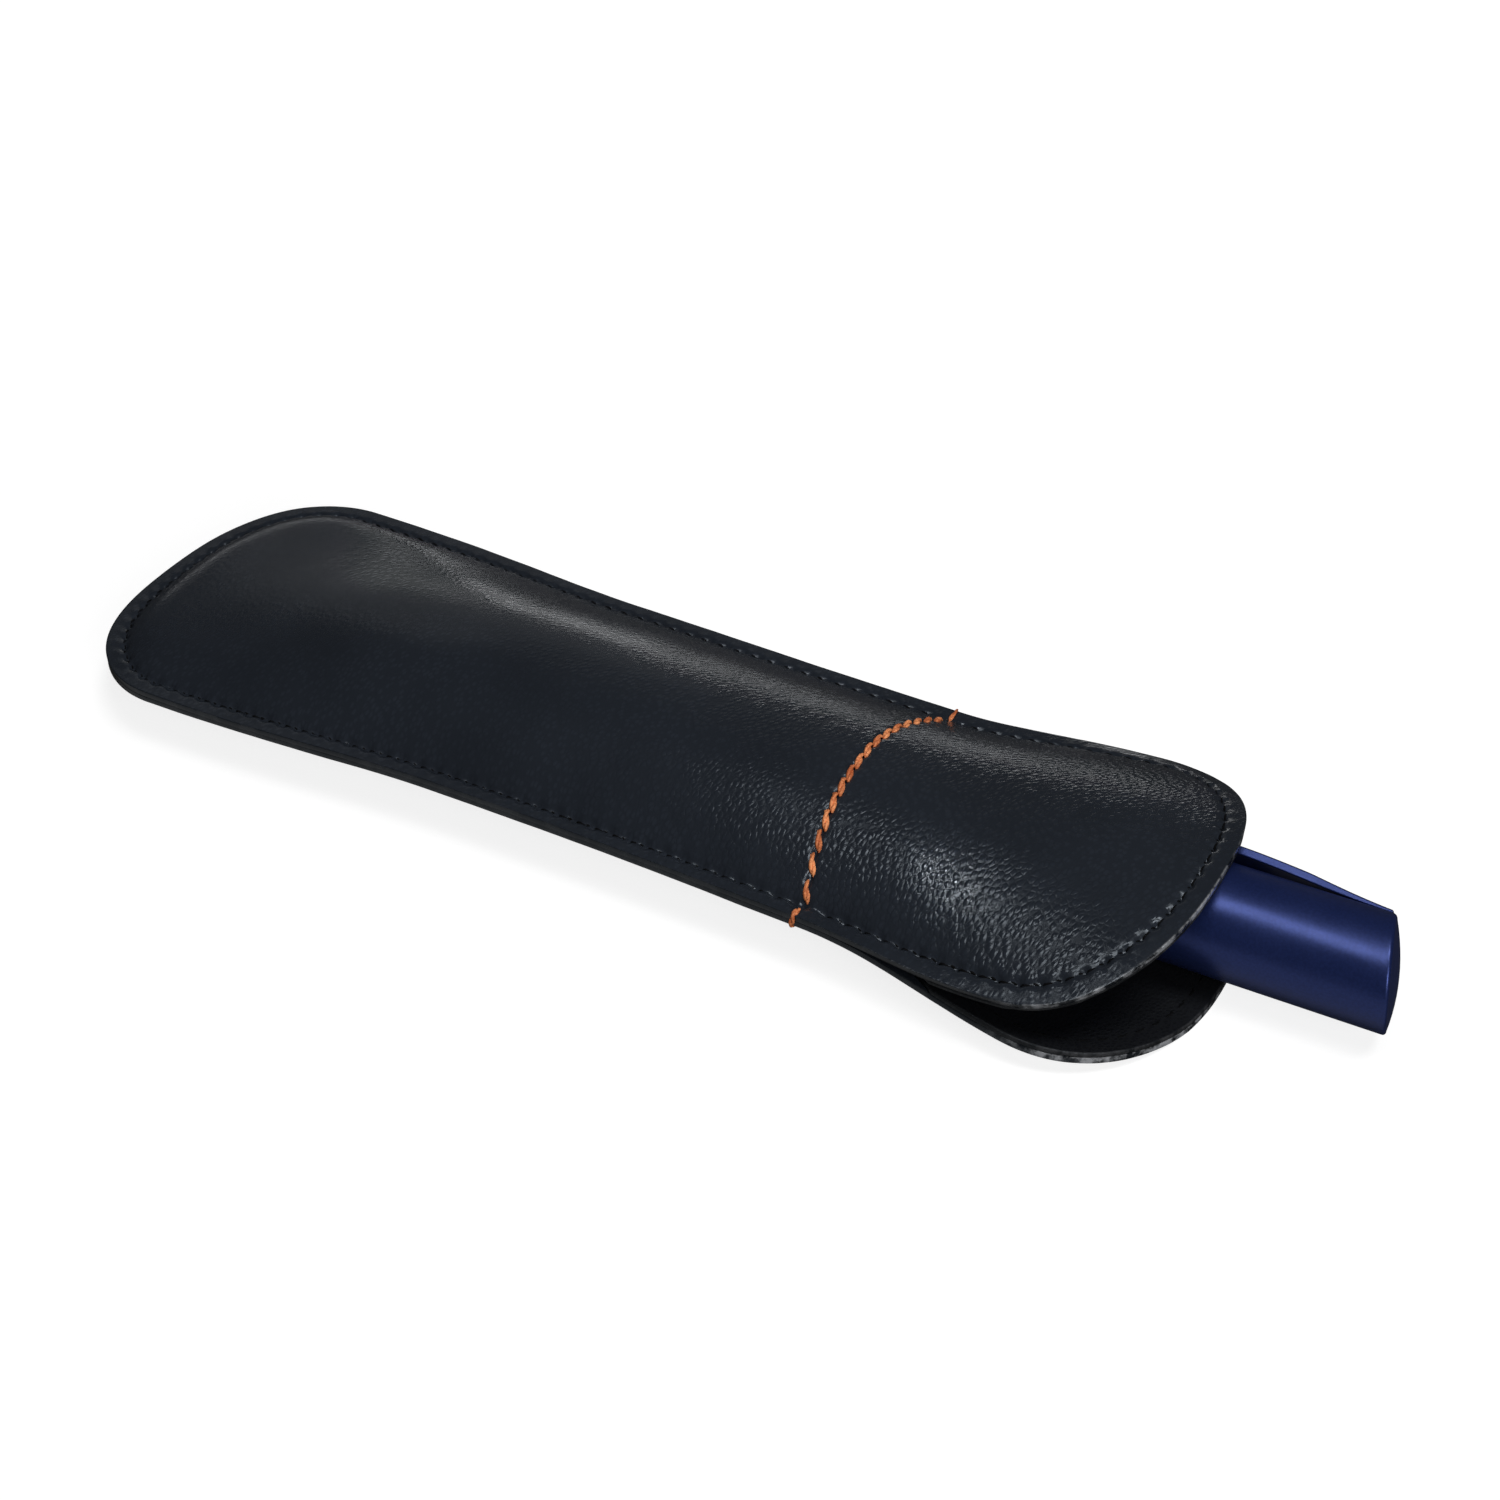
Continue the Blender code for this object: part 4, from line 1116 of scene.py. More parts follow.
@dataclass
class LeatherPiece:
    """A piece of leather: cut flat, creased along its seams, laid over the pen and thickened."""

    name: str
    form: PouchForm
    face: Face
    outline: Array
    depth: float
    thickness: float
    finish: LeatherFinish
    seams: tuple[Seam, ...] = ()
    fine_mouth: bool = False
    seed: float = 0.0
    rings: tuple[float, ...] = (
        0.32, 0.34, 0.42, 0.45, 0.42, 0.35, 0.28, 0.25, 0.25, 0.28, 0.35, 0.45, 0.7, 1.0
    )
    cell: float = 1.5 * MM
    # Finer cells at the contrast seam: their sizes and how far they reach, in millimetres
    fine_along: float = 0.3
    fine_across: float = 0.4
    fine_half: float = 2.0
    # Slow waves of the skin: scales and heights in millimetres
    waves: tuple[Span, ...] = ((0.045, 0.16), (0.13, 0.05), (0.45, 0.014))
    # Half widths and depths in millimetres of what a seam leaves, and a hole's half length
    groove: Span = (0.4, 0.24)
    hole: Span = (0.46, 0.42)
    hole_length: float = 0.5
    pucker: Span = (1.2, 0.09)
    edge_reach: float = 6.0

    def blank(self) -> BMesh:
        """Cut the flat piece.

        Returns:
            Rings along its edge and cells inside them, finer ones along the contrast seam.
        """
        bm = bmesh.new()
        inner = bm.faces.new([bm.verts.new((u, v, 0.0)) for u, v in self.outline])
        inner.normal_update()
        if inner.normal.z < 0.0:
            inner.normal_flip()
        for step in self.rings:
            bmesh.ops.inset_region(
                bm, faces=[inner], thickness=step * MM, use_boundary=True, use_even_offset=True
            )
        inner.material_index = 1
        low, high = self.outline.min(axis=0), self.outline.max(axis=0)
        along, across = (1.0, 0.0, 0.0), (0.0, 1.0, 0.0)
        cuts = [((u, 0.0, 0.0), along) for u in np.arange(low[0], high[0], self.cell)[1:]]
        cuts += [((0.0, v, 0.0), across) for v in np.arange(low[1], high[1], self.cell)[1:]]
        mouth = self.form.stitch_u
        if self.fine_mouth:
            cuts += [((mouth + k * self.fine_along * MM, 0.0, 0.0), along) for k in range(-7, 8)]
        for place, square in cuts:
            self.cut(bm, [f for f in bm.faces if f.material_index == 1], place, square)
        half = self.fine_half * MM
        for v in np.arange(low[1], high[1], self.fine_across * MM)[1:] if self.fine_mouth else ():
            middles = [(f, f.calc_center_median()) for f in bm.faces if f.material_index == 1]
            near = [f for f, m in middles if abs(m.x - mouth) < half and abs(m.y - v) < self.cell]
            self.cut(bm, near, (0.0, v, 0.0), across)
        for cell in bm.faces:
            cell.material_index = 0
        return bm

    def cut(self, bm: BMesh, faces: list, place: tuple, square: tuple) -> None:
        """Score some faces along a plane."""
        geom = list({v for f in faces for v in f.verts}) + list({e for f in faces for e in f.edges}) + faces
        bmesh.ops.bisect_plane(bm, geom=geom, dist=0.01 * MM, plane_co=place, plane_no=square)

    def relief(self, u: Array, v: Array) -> Array:
        """How far the worked leather stands off the plain form.

        Args:
            u: Distances from the closed end.
            v: Distances from the middle line.

        Returns:
            The heights in metres.
        """
        raised = np.zeros(u.shape)
        for k, (a, b) in enumerate(zip(u, v)):
            spot = Vector((a / MM, b / MM, self.seed))
            raised[k] = sum(noise.noise(spot * scale) * height for scale, height in self.waves) * MM
        for seam in self.seams:
            away, along = seam.measure(u, v, 2.0 * self.pucker[0] * MM)
            nearest = np.abs(along / seam.pitch - np.round(along / seam.pitch)) * seam.pitch
            beside = (away / (self.hole[0] * MM)) ** 2
            groove = np.exp(-((away / (self.groove[0] * MM)) ** 2)) * self.groove[1] * MM
            holes = np.exp(-beside - (nearest / (self.hole_length * MM)) ** 2) * self.hole[1] * MM
            pull = np.exp(-((away / (self.pucker[0] * MM)) ** 2)) * self.pucker[1] * MM
            raised -= groove + holes + pull * np.cos(FULL_TURN * along / seam.pitch)
        return raised

    def build(self, replaces: str) -> None:
        """Make the piece.

        Args:
            replaces: The CAD node that it stands for.
        """
        bm = self.blank()
        bm.verts.ensure_lookup_table()
        flat = np.array([(vert.co.x, vert.co.y) for vert in bm.verts])
        u, v = flat[:, 0], flat[:, 1]
        square = self.form.normal(self.face, u, v)
        lifted = self.form.outer(self.face, u, v) - square * self.depth
        if self.depth == 0.0:
            lifted += square * self.relief(u, v)[:, None]
        if self.face is Face.BACK:
            lifted[:, 2] = np.maximum(lifted[:, 2], 0.0)
        sheet = bm.loops.layers.uv.new("flat")
        for cell in bm.faces:
            for loop in cell.loops:
                a, b = flat[loop.vert.index]
                loop[sheet].uv = (a * UV_PER_METRE, b * UV_PER_METRE + UV_MIDDLE)
        edge = Seam(np.concatenate([self.outline, self.outline[:1]]), 1.0)
        inset = bm.verts.layers.float.new("inset")
        away, _ = edge.measure(u, v, self.edge_reach * MM)
        for vert, spot, distance in zip(bm.verts, lifted, away):
            vert.co = spot
            vert[inset] = min(distance / MM, self.edge_reach)
        if self.face is Face.BACK:
            bmesh.ops.reverse_faces(bm, faces=bm.faces[:])
        piece = add_piece(self.name, bm, self.finish, "pouch")
        thicken(piece, self.thickness)
        round_edges(piece, width=0.2 * MM, segments=2, limit=50.0, harden=False)
        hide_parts(replaces)


@dataclass
class Pouch:
    """The leather case: two panels, two facings and all the sewing."""

    form: PouchForm = field(default_factory=PouchForm)
    outer_wall: float = 0.85 * MM
    lining_wall: float = 0.75 * MM
    lining_gap: float = 0.03 * MM
    stitch_inset: float = 2.9 * MM
    pitch: float = 3.0 * MM
    contrast_pitch: float = 3.2 * MM
    mouth_gap: float = 1.5 * MM
    inner_start: float = 21.0 * MM
    step: float = 0.55 * MM
    seam_step: float = 0.5 * MM
    overrun: float = 0.2 * MM

    def rim(self) -> Array:
        """The closed path of stitches round a whole panel."""
        return inset_path(self.form.outline(self.seam_step), self.stitch_inset)

    def tongue_seam(self, start: float) -> Seam:
        """The seam line round a tongue.

        Args:
            start: How far past the mouth it starts and ends.

        Returns:
            The seam, round the tip and back.
        """
        whole = self.rim()
        part = whole[whole[:, 0] > self.form.stitch_u + start]
        jump = 8.0 * self.seam_step
        turn = int(np.argmax(np.abs(np.diff(part[:, 0])) > jump))
        if turn:
            part = np.concatenate([part[turn + 1:], part[: turn + 1]])
        return Seam(part, self.pitch)

    def closing_seam(self) -> Seam:
        """The seam line down one side, round the closed end and up the other side.

        Returns:
            The seam.
        """
        whole = self.rim()[:-1]
        body = whole[:, 0] < self.form.stitch_u - self.mouth_gap
        first, last = int(np.argmin(body)), len(body) - int(np.argmin(body[::-1]))
        return Seam(np.concatenate([whole[last:], whole[:first]]), self.pitch)

    def cross_seam(self) -> Seam:
        """The contrast seam across the mouth.

        Returns:
            The seam.
        """
        half = self.form.arch_half + self.overrun
        v = np.linspace(-half, half, 400)
        return Seam(np.stack([np.full(v.shape, self.form.stitch_u), v], axis=1), self.contrast_pitch)

    def sew(self, name: str, face: Face, radius: float, seam: Seam, *replaces: str, **more: object) -> None:
        """Sew a seam with thread of this radius in millimetres."""
        StitchLine(name, self.form, face, radius * MM, **more).build(seam, replaces)

    def build(self) -> None:
        """Make every piece of the case."""
        closing, cross = self.closing_seam(), self.cross_seam()
        tongue, inner = self.tongue_seam(self.mouth_gap), self.tongue_seam(self.inner_start)
        outline, facing = self.form.outline(self.step), self.form.facing_outline(self.step)
        under = self.outer_wall + self.lining_gap
        for face, label, seed in ((Face.FRONT, "front", 3.0), (Face.BACK, "back", 41.0)):
            LeatherPiece(
                f"{label}_leather", self.form, face, outline, 0.0, self.outer_wall, BLACK_LEATHER,
                (closing, tongue, cross), True, seed,
            ).build(f"{label}_panel")
            LeatherPiece(
                f"{label}_lining", self.form, face, facing, under, self.lining_wall, LINING_LEATHER,
                rings=(0.3, 0.35, 0.5),
            ).build(f"{label}_facing")
            self.sew(
                f"{label}_closing_stitches", face, 0.36, closing, f"closing_thread_{label}", sunk=0.42 * MM
            )
        self.sew("front_tongue_stitches", Face.FRONT, 0.34, tongue, "front_tongue_thread", sunk=0.42 * MM)
        self.sew(
            "back_tongue_stitches", Face.BACK, 0.24, inner, "back_tongue_thread",
            layer=Layer.INSIDE, depth=under + self.lining_wall,
        )
        self.sew("back_tongue_under_stitches", Face.BACK, 0.24, tongue, sunk=0.34 * MM)
        self.sew(
            "contrast_stitches", Face.FRONT, 0.54, cross, "cross_stitch",
            finish=ORANGE_THREAD, sunk=0.06 * MM, slant=15.0, fill=1.12,
        )
        self.sew(
            "contrast_under_stitches", Face.BACK, 0.4, cross,
            finish=ORANGE_THREAD, sunk=0.42 * MM, slant=13.0, fill=0.9,
        )
        for label, side, radius, reach in (("near", -1.0, 0.44, 1.9), ("far", 1.0, 0.34, 3.1)):
            tack = EdgeTack(f"{label}_tack", self.form, side, radius * MM, reach * MM)
            tack.build(f"{label}_edge_tack")


# Pen


@dataclass
class PenAxis:
    """Where the pen lies in the case: lengths run from the button's end along its axis."""

    start: Point = (-58.95 * MM, -2.1 * MM, 10.54 * MM)
    yaw: float = math.radians(1.2)
    clip_angle: float = math.radians(60.0)

    def finish(
        self, name: str, bm: BMesh, look: Finish, body: str, replaces: str, rounding: float, slot: str = ""
    ) -> Piece:
        """Lay a pen piece in the case and round its edges.

        Args:
            name: The piece's name.
            bm: The shape in the pen's own frame.
            look: Its finish.
            body: The body that it moves with.
            replaces: The CAD node that it stands for, or nothing.
            rounding: Radius of its edges in millimetres, or 0 for none.
            slot: Not used.

        Returns:
            The piece.
        """
        place = Matrix.Translation(self.start) @ Matrix.Rotation(self.yaw, 4, "Z")
        bmesh.ops.transform(bm, matrix=place, verts=bm.verts[:])
        piece = add_piece(name, bm, look, body)
        if rounding:
            round_edges(piece, width=rounding * MM, segments=3, limit=28.0, harden=True)
        if replaces:
            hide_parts(replaces)
        return piece


def tube(rear: float, front: float, inner: float, outer: float) -> Profile:
    """Profile of a plain tube."""
    return [(rear, inner), (rear, outer), (front, outer), (front, inner)]


@dataclass
class Turning:
    """A piece turned about the pen's axis. Sizes in millimetres, the profile as (length, radius)."""

    name: str
    profile: Profile
    look: Finish
    body: str
    replaces: str
    sides: int = 96
    rounding: float = 0.12
    cuts: tuple[tuple[float, float, float, int], ...] = ()

    def shape(self) -> BMesh:
        """Turn the profile and cut its openings.

        Returns:
            The closed shape in the pen's own frame.
        """
        bm = bmesh.new()
        verts = [bm.verts.new((x * MM, 0.0, r * MM)) for x, r in self.profile]
        edges = [bm.edges.new(pair) for pair in zip(verts, verts[1:])]
        if self.profile[0][1] > 0.0:
            edges.append(bm.edges.new((verts[-1], verts[0])))
        bmesh.ops.spin(
            bm, geom=verts + edges, cent=(0, 0, 0), axis=(1, 0, 0), angle=FULL_TURN, steps=self.sides,
            use_merge=True,
        )
        bmesh.ops.remove_doubles(bm, verts=bm.verts[:], dist=0.001 * MM)
        recalculate(bm)
        for low, high, middle, steps in self.cuts:
            self.open_wall(bm, low * MM, high * MM, middle, steps)
        return bm

    def open_wall(self, bm: BMesh, low: float, high: float, middle: float, steps: int) -> None:
        """Cut a window through both faces of the wall and line its sides.

        Args:
            bm: The turned shape, which is changed.
            low: The window's rear end in metres.
            high: Its front end.
            middle: Angle of its middle from +Z towards +Y.
            steps: Facets that it spans on each side of its middle.
        """
        reach = (steps + 0.1) * FULL_TURN / self.sides
        gone = []
        for cell in bm.faces:
            spot = cell.calc_center_median()
            turn = math.atan2(spot.y, spot.z) - middle
            turn = math.atan2(math.sin(turn), math.cos(turn))
            if low < spot.x < high and abs(turn) < reach and abs(cell.normal.x) < 0.5:
                gone.append(cell)
        bmesh.ops.delete(bm, geom=gone, context="FACES")
        sides = bmesh.ops.bridge_loops(bm, edges=[e for e in bm.edges if e.is_boundary])["faces"]
        bmesh.ops.recalc_face_normals(bm, faces=sides)
        recalculate(bm)

    def build(self, axis: PenAxis, bm: BMesh | None = None) -> None:
        """Make the piece, from its own shape or from one that was worked on."""
        shape = self.shape() if bm is None else bm
        axis.finish(self.name, shape, self.look, self.body, self.replaces, self.rounding)


@dataclass
class Cap:
    """The cap with its slanted, crowned end and the spring clip on it. Sizes in millimetres."""

    axis: PenAxis
    front: float = 165.3
    rear: float = 93.6
    radius: float = 8.0
    bore: float = 7.1
    end_wall: float = 0.9
    slant: float = 3.5
    edge: float = 0.6
    crown: float = 1.0
    # Clip: its bow and where that ends, its wall and where that is full, its heel and its sides
    clip_length: float = 42.0
    clip_width: float = 4.6
    clip_bow: float = 1.45
    clip_bow_end: float = 25.0
    clip_walls: Span = (0.45, 1.25)
    clip_wall_end: float = 12.0
    clip_heel: float = 2.2
    heel_half: float = 2.0
    heel_gap: float = 0.02
    clip_sunk: float = 0.05
    clip_fall: float = 0.75
    clip_droop: float = 0.35
    clip_taper: float = 0.12

    def shell(self) -> None:
        """Make the cap's shell."""
        bend, round_steps = self.front - 2.0 * self.slant, 6
        shares = [k / round_steps for k in range(round_steps + 1)]
        flat = self.radius - self.edge
        profile = []
        for k, share in enumerate(shares[:-1]):
            profile.append((self.front + self.crown * (1.0 - share ** 2), flat * k / round_steps))
        for k in range(round_steps + 1):
            turn = 0.5 * math.pi * k / round_steps
            length = self.front - self.edge * (1.0 - math.cos(turn))
            profile.append((length, self.radius - self.edge * (1.0 - math.sin(turn))))
        profile += [(mix(self.front - self.edge, bend, s), self.radius) for s in shares[1:]]
        profile += [(self.rear, self.radius), (self.rear, self.bore), (bend, self.bore)]
        profile += [(self.front - self.end_wall, self.bore), (self.front + self.crown - self.end_wall, 0.0)]
        turned = Turning("cap_shell", profile, NAVY_METAL, "pen_cap", "pen_cap", 128, 0.15)
        bm = turned.shape()
        across = Vector((0.0, math.sin(self.axis.clip_angle), math.cos(self.axis.clip_angle)))
        top = (self.front - self.edge) * MM
        for vert in bm.verts:
            share = clamp((vert.co.x - bend * MM) / (top - bend * MM))
            vert.co.x -= 0.5 * self.slant * MM * share * (1.0 + vert.co.dot(across) / (self.radius * MM))
        turned.build(self.axis, bm)

    def clip_faces(self, back: float) -> Span:
        """Find the clip's faces.

        Args:
            back: Distance back from its root.

        Returns:
            Heights of its inner and outer face over the axis.
        """
        bow = math.sin(0.5 * math.pi * min(back / self.clip_bow_end, 1.0))
        fall = float(ease(np.array((back - self.clip_bow_end) / (self.clip_length - self.clip_bow_end))))
        thickness = mix(*self.clip_walls, min(back / self.clip_wall_end, 1.0))
        heel = max(0.0, 1.0 - abs(back - self.clip_length + self.clip_heel) / self.heel_half)
        inner = self.radius - self.clip_sunk + self.clip_bow * bow * bow * (1.0 - self.clip_fall * fall)
        outer = inner + thickness
        return inner - heel * heel * max(inner - self.radius - self.heel_gap, 0.0), outer

    def clip(self) -> None:
        """Make the clip: its side's outline, swept across in steps and then bent."""
        steps, across = 44, 6
        root = self.front - self.slant - self.edge
        backs = [self.clip_length * k / steps for k in range(steps + 1)]
        line = [(root - back, self.clip_faces(back)[0]) for back in backs]
        line += [(root - back, self.clip_faces(back)[1]) for back in reversed(backs)]
        bm = bmesh.new()
        side = bm.faces.new([bm.verts.new((x * MM, -0.5 * self.clip_width * MM, r * MM)) for x, r in line])
        for step in range(across):
            swept = bmesh.ops.extrude_face_region(bm, geom=[side])["geom"]
            moved = [item for item in swept if isinstance(item, bmesh.types.BMVert)]
            bmesh.ops.translate(bm, vec=(0.0, self.clip_width * MM / across, 0.0), verts=moved)
            old, side = side, next(item for item in swept if isinstance(item, bmesh.types.BMFace))
            if old.is_valid and step > 0:
                bmesh.ops.delete(bm, geom=[old], context="FACES_ONLY")
        half = 0.5 * self.clip_width * MM
        for vert in bm.verts:
            tail = clamp((root * MM - vert.co.x) / (self.clip_length * MM))
            vert.co.y *= 1.0 - self.clip_taper * tail
            vert.co.z -= self.clip_droop * MM * (vert.co.y / half) ** 2 * (1.0 - 0.7 * tail)
        recalculate(bm)
        turn = Matrix.Rotation(-self.axis.clip_angle, 3, "X")
        bmesh.ops.rotate(bm, cent=(0, 0, 0), matrix=turn, verts=bm.verts[:])
        self.axis.finish("clip_spring", bm, NAVY_METAL, "pen_cap", "cap_clip", 0.22)

    def build(self) -> None:
        """Make the cap and its clip."""
        self.shell()
        self.clip()


@dataclass
class Barrel:
    """The barrel with its dose window, the lens in it and the nut at its front. Sizes in millimetres."""

    axis: PenAxis
    rear: float = 17.8
    front: float = 93.3
    neck: float = 86.0
    radius: float = 7.8
    bore: float = 6.5
    neck_bore: float = 7.1
    window: Span = (26.8, 35.8)
    facets: int = 5
    pane_gap: float = 0.25
    pane_sunk: float = 0.12
    pane_wall: float = 0.9
    pane_half: float = math.radians(17.6)

    def lens(self) -> None:
        """Make the clear pane in the window."""
        bm = bmesh.new()
        stops, around = 6, 12
        length = self.window[1] - self.window[0] - 2.0 * self.pane_gap
        tilt = Matrix.Rotation(self.pane_half, 3, "X")
        line = []
        for k in range(stops + 1):
            x = self.window[0] + self.pane_gap + length * k / stops
            line.append(bm.verts.new(tilt @ Vector((x * MM, 0.0, (self.radius - self.pane_sunk) * MM))))
        edges = [bm.edges.new(pair) for pair in zip(line, line[1:])]
        bmesh.ops.spin(
            bm, geom=line + edges, cent=(0, 0, 0), axis=(1, 0, 0), angle=-2.0 * self.pane_half, steps=around
        )
        recalculate(bm)
        if bm.faces[0].normal.z < 0.0:
            bmesh.ops.reverse_faces(bm, faces=bm.faces[:])
        piece = self.axis.finish("window_pane", bm, CLEAR_PLASTIC, "pen_body", "dose_lens", 0.0)
        thicken(piece, self.pane_wall * MM)

    def build(self) -> None:
        """Make the barrel, its pane and its nut."""
        low, high = self.window
        profile = [(self.rear, self.bore), (self.rear, self.radius), (low, self.radius), (high, self.radius)]
        profile += [(self.front, self.radius), (self.front, self.neck_bore), (self.neck, self.neck_bore)]
        profile += [(self.neck, self.bore), (high, self.bore), (low, self.bore)]
        cuts = ((low, high, 0.0, self.facets),)
        Turning("barrel_shell", profile, NAVY_METAL, "pen_body", "pen_barrel", cuts=cuts).build(self.axis)
        self.lens()
        nut = tube(80.0, self.neck, 2.3, 6.2)
        Turning("rod_nut", nut, WHITE_PLASTIC, "pen_body", "drive_nut", 64).build(self.axis)


@dataclass
class Dial:
    """The ribbed selector, the number drum with its printed numbers and the button, in millimetres."""

    axis: PenAxis
    ribs: int = 22
    rib_depth: float = 0.45
    rib_span: Span = (6.9, 16.0)
    rib_root: float = 6.0
    numbers: int = 12
    number_size: float = 2.3 * 1.35
    number_place: float = 31.3
    ink: float = 0.012
    drum_radius: float = 6.2

    def selector(self) -> None:
        """Make the selector with its rounded ribs."""
        profile = [(23.5, 2.7), (23.5, 5.1), (17.5, 5.1), (17.5, 7.0), (16.35, 7.0), (15.9, 7.0)]
        profile += [(mix(15.9, 7.0, k / 6), mix(7.0, 6.76, k / 6)) for k in range(1, 7)]
        profile += [(6.6, 6.72), (3.5, 6.2), (3.5, 5.2), (11.8, 5.2), (11.8, 2.7)]
        turned = Turning(
            "selector_grip", profile, DARK_PLASTIC, "dose_selector", "dose_selector", 10 * self.ribs, 0.15
        )
        bm = turned.shape()
        low, high = self.rib_span
        for vert in bm.verts:
            radius = math.hypot(vert.co.y, vert.co.z)
            if radius > self.rib_root * MM and low * MM < vert.co.x < high * MM:
                dip = 0.5 - 0.5 * math.cos(self.ribs * math.atan2(vert.co.y, vert.co.z))
                vert.co.yz = vert.co.yz * (1.0 - self.rib_depth * MM * dip ** 1.5 / radius)
        turned.build(self.axis, bm)

    def figures(self) -> None:
        """Print the even numbers round the drum, evenly spaced."""
        bm = bmesh.new()
        radius = (self.drum_radius + self.ink) * MM
        for k in range(self.numbers):
            curve = bpy.data.curves.new("figure", "FONT")
            curve.body, curve.size = str(2 * k), self.number_size * MM
            curve.align_x = curve.align_y = "CENTER"
            holder = bpy.data.objects.new("figure", curve)
            mesh = bpy.data.meshes.new_from_object(holder)
            before = len(bm.verts)
            bm.from_mesh(mesh)
            bm.verts.ensure_lookup_table()
            for vert in bm.verts[before:]:
                turn = FULL_TURN * k / self.numbers + vert.co.y / (self.drum_radius * MM)
                spot = (self.number_place * MM + vert.co.x, radius * math.sin(turn), radius * math.cos(turn))
                vert.co = Vector(spot)
            bpy.data.objects.remove(holder)
            bpy.data.meshes.remove(mesh)
            bpy.data.curves.remove(curve)
        bmesh.ops.remove_doubles(bm, verts=bm.verts[:], dist=0.001 * MM)
        self.axis.finish("dose_figures", bm, NUMERAL_INK, "dose_selector", "", 0.0, "dark_plastic")

    def build(self) -> None:
        """Make the selector, the drum with its numbers, and the button with its dished face."""
        self.selector()
        drum = tube(18.1, 58.1, 5.4, self.drum_radius)
        Turning("drum_tube", drum, WHITE_PLASTIC, "dose_selector", "number_drum").build(self.axis)
        self.figures()
        button = [(0.5 - 0.5 * (k / 6) ** 2, 3.6 * k / 6) for k in range(7)]
        button += [(0.08, 4.3), (0.35, 4.75), (0.8, 4.9), (9.5, 4.9), (9.5, 2.4), (18.5, 2.4), (18.5, 0.0)]
        name = "injection_button"
        Turning("button_cap", button, GREY_PLASTIC, name, name, 64).build(self.axis)


@dataclass
class Cartridge:
    """The clear holder, the glass cartridge with its closure, and the piston behind it. In millimetres."""

    axis: PenAxis
    slot_ends: Span = (102.3, 138.3)
    slot_facets: int = 4
    stopper_radius: float = 4.55
    groove_radius: float = 4.1
    grooves: Span = (99.6, 101.7)

    def build(self) -> None:
        """Make the cartridge's pieces, from the holder inwards."""
        low, high = self.slot_ends
        slots = tuple((low, high, side * 0.5 * math.pi, self.slot_facets) for side in (1.0, -1.0))
        holder = [
            (86.3, 6.1), (86.3, 6.8), (low, 6.8), (high, 6.8), (146.6, 6.8), (148.7, 4.9), (153.5, 4.9),
            (153.8, 4.6), (153.8, 2.4), (152.6, 2.4), (152.6, 4.2), (147.3, 4.2), (144.6, 6.1), (high, 6.1),
            (low, 6.1),
        ]
        glass = [
            (88.3, 4.85), (88.3, 5.8), (144.3, 5.8), (144.9, 5.6), (145.9, 3.5), (146.3, 3.2), (147.0, 3.2),
            (147.0, 2.25), (145.3, 2.25), (143.35, 4.85),
        ]
        crimp = [(147.3, 1.9), (147.3, 3.9), (152.0, 3.9), (152.3, 3.6), (152.3, 1.9)]
        septum = tube(147.3, 152.0, 0.0, 1.6)
        rod = [(36.3, 0.0), (36.3, 2.0), (96.3, 2.0), (96.3, 4.25), (97.8, 4.25), (97.8, 0.0)]
        wide, narrow = self.stopper_radius, self.groove_radius
        stopper = [(98.1, 0.0), (98.1, wide)]
        for land in self.grooves:
            stopper += [(land, wide), (land + 0.35, narrow), (land + 0.65, narrow), (land + 1.0, wide)]
        stopper += [(104.1, wide), (104.1, 0.0)]
        for part in (
            Turning("holder_tube", holder, CLEAR_PLASTIC, "pen_body", "cartridge_holder", cuts=slots),
            Turning("glass_tube", glass, GLASS, "pen_body", "insulin_cartridge", 64),
            Turning("crimp_ring", crimp, CRIMP_METAL, "pen_body", "crimp_cap", 64),
            Turning("septum_plug", septum, RUBBER, "pen_body", "septum", 48),
            Turning("push_rod", rod, WHITE_PLASTIC, "piston", "piston_rod", 48),
            Turning("stopper_plug", stopper, RUBBER, "piston", "cartridge_stopper", 48),
        ):
            part.build(self.axis)


@dataclass
class Pen:
    """The whole pen."""

    axis: PenAxis = field(default_factory=PenAxis)

    def build(self) -> None:
        """Make every piece of the pen."""
        for part in (Cap(self.axis), Barrel(self.axis), Dial(self.axis), Cartridge(self.axis)):
            part.build()


# Studio


@dataclass(frozen=True)
class Softbox:
    """An even area light that faces its aim. Angles in degrees, from +X towards +Y and up."""

    name: str
    azimuth: float
    elevation: float
    distance: float
    width: float
    height: float
    power: float
    aim: Point = (0.0, 0.0, 0.0)
    spread: float = 180.0

    def build(self) -> None:
        """Create the light."""
        data = bpy.data.lights.new(self.name, "AREA")
        data.shape, data.size, data.size_y = "RECTANGLE", self.width, self.height
        data.energy, data.spread = self.power, math.radians(self.spread)
        around, up = math.radians(self.azimuth), math.radians(self.elevation)
        toward = Vector((math.cos(around) * math.cos(up), math.sin(around) * math.cos(up), math.sin(up)))
        made = bpy.data.objects.new(self.name, data)
        made.location = Vector(self.aim) + toward * self.distance
        made.rotation_euler = (-toward).to_track_quat("-Z", "Y").to_euler()
        made.visible_camera = False
        bpy.context.collection.objects.link(made)


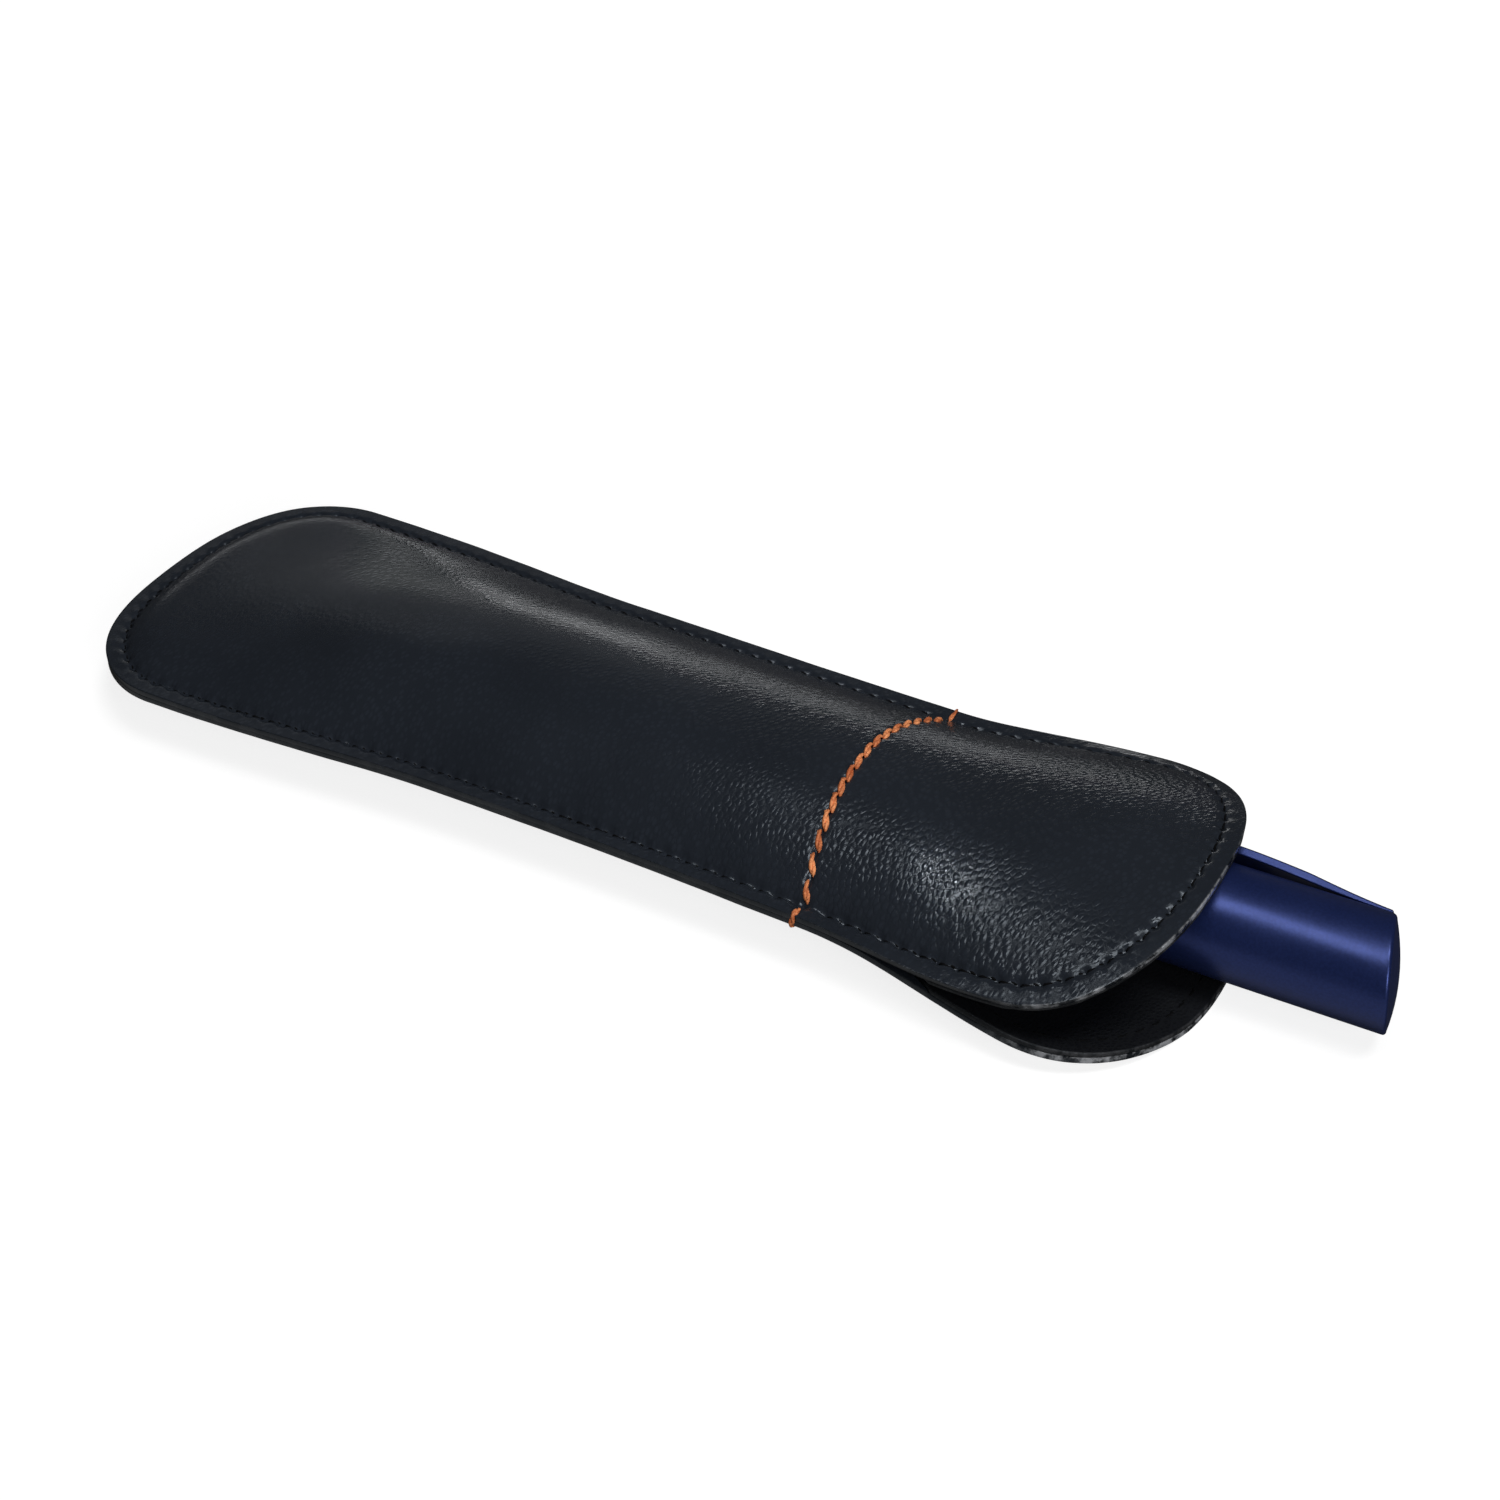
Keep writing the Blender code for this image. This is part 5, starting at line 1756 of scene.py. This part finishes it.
@dataclass
class Studio:
    """Floor, soft lights and the camera at the photograph's place."""

    target: Point = (4.32 * MM, 5.752 * MM, 8.0 * MM)
    azimuth: float = math.radians(28.693)
    elevation: float = math.radians(37.774)
    roll: float = 0.0024584
    distance: float = 350.93 * MM
    lens: float = 55.398
    sensor: float = 36.0
    nearest: float = 0.01
    # Floor: half its size, its grey, and where its glow rises from beside the case to full white
    floor_half: float = 3.0
    floor_drop: float = 0.02 * MM
    floor_grey: float = 0.34
    glow_reach: Span = (0.12, 0.5)
    glow_levels: Span = (0.82, 1.0)
    # Room: directions where what glosses mirror fades from pale to dark, and the least light
    pale_front: tuple[float, ...] = (-0.6, 0.2, 0.42, 0.02)
    pale_low: tuple[float, ...] = (-0.35, 0.05, 1.0, 0.03)
    least: float = 0.03
    lamps: tuple[Softbox, ...] = (
        Softbox("key_softbox", 350.0, 70.0, 2.0, 0.7, 0.7, 13.0),
        Softbox("front_softbox", 324.0, 28.0, 2.0, 0.7, 0.7, 13.5),
        Softbox("rim_strip", 112.5, 4.5, 1.0, 0.44, 0.07, 0.26),
        Softbox("end_strip", 137.0, 8.0, 1.0, 0.4, 0.1, 0.1),
        Softbox("end_softbox", 128.0, 27.0, 1.0, 0.5, 0.4, 0.11),
        Softbox("cap_softbox", 246.0, 70.0, 0.3, 0.12, 0.1, 0.205, (0.095, -0.0035, 0.017)),
        Softbox("sheen_softbox", 172.0, 70.0, 0.2, 0.03, 0.03, 0.0115, (0.052, -0.017, 0.017)),
        Softbox("spark_softbox", 184.0, 67.5, 0.08, 0.008, 0.005, 0.00008, (0.048, -0.0165, 0.0175), 11.0),
    )

    def camera(self) -> None:
        """Create the camera."""
        data = bpy.data.cameras.new("photo_camera")
        data.sensor_width, data.lens, data.clip_start = self.sensor, self.lens, self.nearest
        made = bpy.data.objects.new("photo_camera", data)
        bpy.context.collection.objects.link(made)
        around, level = self.azimuth, math.cos(self.elevation)
        back = Vector((math.sin(around) * level, -math.cos(around) * level, math.sin(self.elevation)))
        right = (-back).cross(Vector((0.0, 0.0, 1.0))).normalized()
        up = right.cross(-back)
        rolled_right = right * math.cos(self.roll) + up * math.sin(self.roll)
        rolled_up = up * math.cos(self.roll) - right * math.sin(self.roll)
        basis = Matrix((rolled_right, rolled_up, back)).transposed().to_4x4()
        made.matrix_world = Matrix.Translation(Vector(self.target) + back * self.distance) @ basis
        bpy.context.scene.camera = made

    def floor(self) -> None:
        """Create the pale floor, which glows for the camera only and isn't mirrored."""
        bm = bmesh.new()
        bmesh.ops.create_grid(bm, x_segments=2, y_segments=2, size=self.floor_half)
        mesh = bpy.data.meshes.new("floor")
        bm.to_mesh(mesh)
        bm.free()
        made = bpy.data.objects.new("floor", mesh)
        made.location = (0.0, 0.0, -self.floor_drop)
        bpy.context.collection.objects.link(made)
        paint, graph, shader = start_material("pale_floor", Roughness=0.9, Specular_IOR_Level=0.0)
        shader.inputs["Base Color"].default_value = rgba((self.floor_grey,) * 3)
        away = graph.node("VectorMath", {0: graph.place()}, operation="LENGTH").outputs["Value"]
        rising = graph.ramp(away, *self.glow_reach, *self.glow_levels)
        glow = graph.times(graph.seen()[0], rising)
        light = graph.node("Emission", {"Color": WHITE, "Strength": glow})
        both = graph.node("AddShader", {0: shader.outputs[0], 1: light.outputs[0]})
        out = next(n for n in graph.tree.nodes if n.bl_idname == "ShaderNodeOutputMaterial")
        graph.link(both.outputs[0], out, "Surface")
        mesh.materials.append(paint)
        made.visible_glossy = False

    def world(self) -> None:
        """Create the surrounding light: white to the camera, and pale in front in what glosses mirror."""
        made = bpy.data.worlds.new("soft_room")
        made.use_nodes = True
        graph = Graph(made.node_tree)
        back = next(n for n in graph.tree.nodes if n.bl_idname == "ShaderNodeBackground")
        direct, path = graph.seen()
        apart = graph.node("SeparateXYZ", {0: graph.node("TexCoord").outputs["Generated"]})
        front = graph.ramp(apart.outputs["Y"], *self.pale_front)
        pale = graph.times(front, graph.ramp(apart.outputs["Z"], *self.pale_low))
        shown = graph.math("MAXIMUM", direct, graph.times(path.outputs["Is Glossy Ray"], pale))
        back.inputs["Color"].default_value = WHITE
        graph.link(graph.math("MAXIMUM", shown, self.least), back, "Strength")
        bpy.context.scene.world = made

    def build(self) -> None:
        """Set the whole studio up."""
        self.camera()
        self.floor()
        self.world()
        for lamp in self.lamps:
            lamp.build()
        bpy.context.scene.view_settings.view_transform = "Standard"


def main() -> None:
    """Load the frame, dress it and set the studio up."""
    logging.basicConfig(level=logging.INFO, format="%(message)s")
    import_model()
    for part in (Pouch(), Pen(), Studio()):
        part.build()


if __name__ == "__main__":
    main()
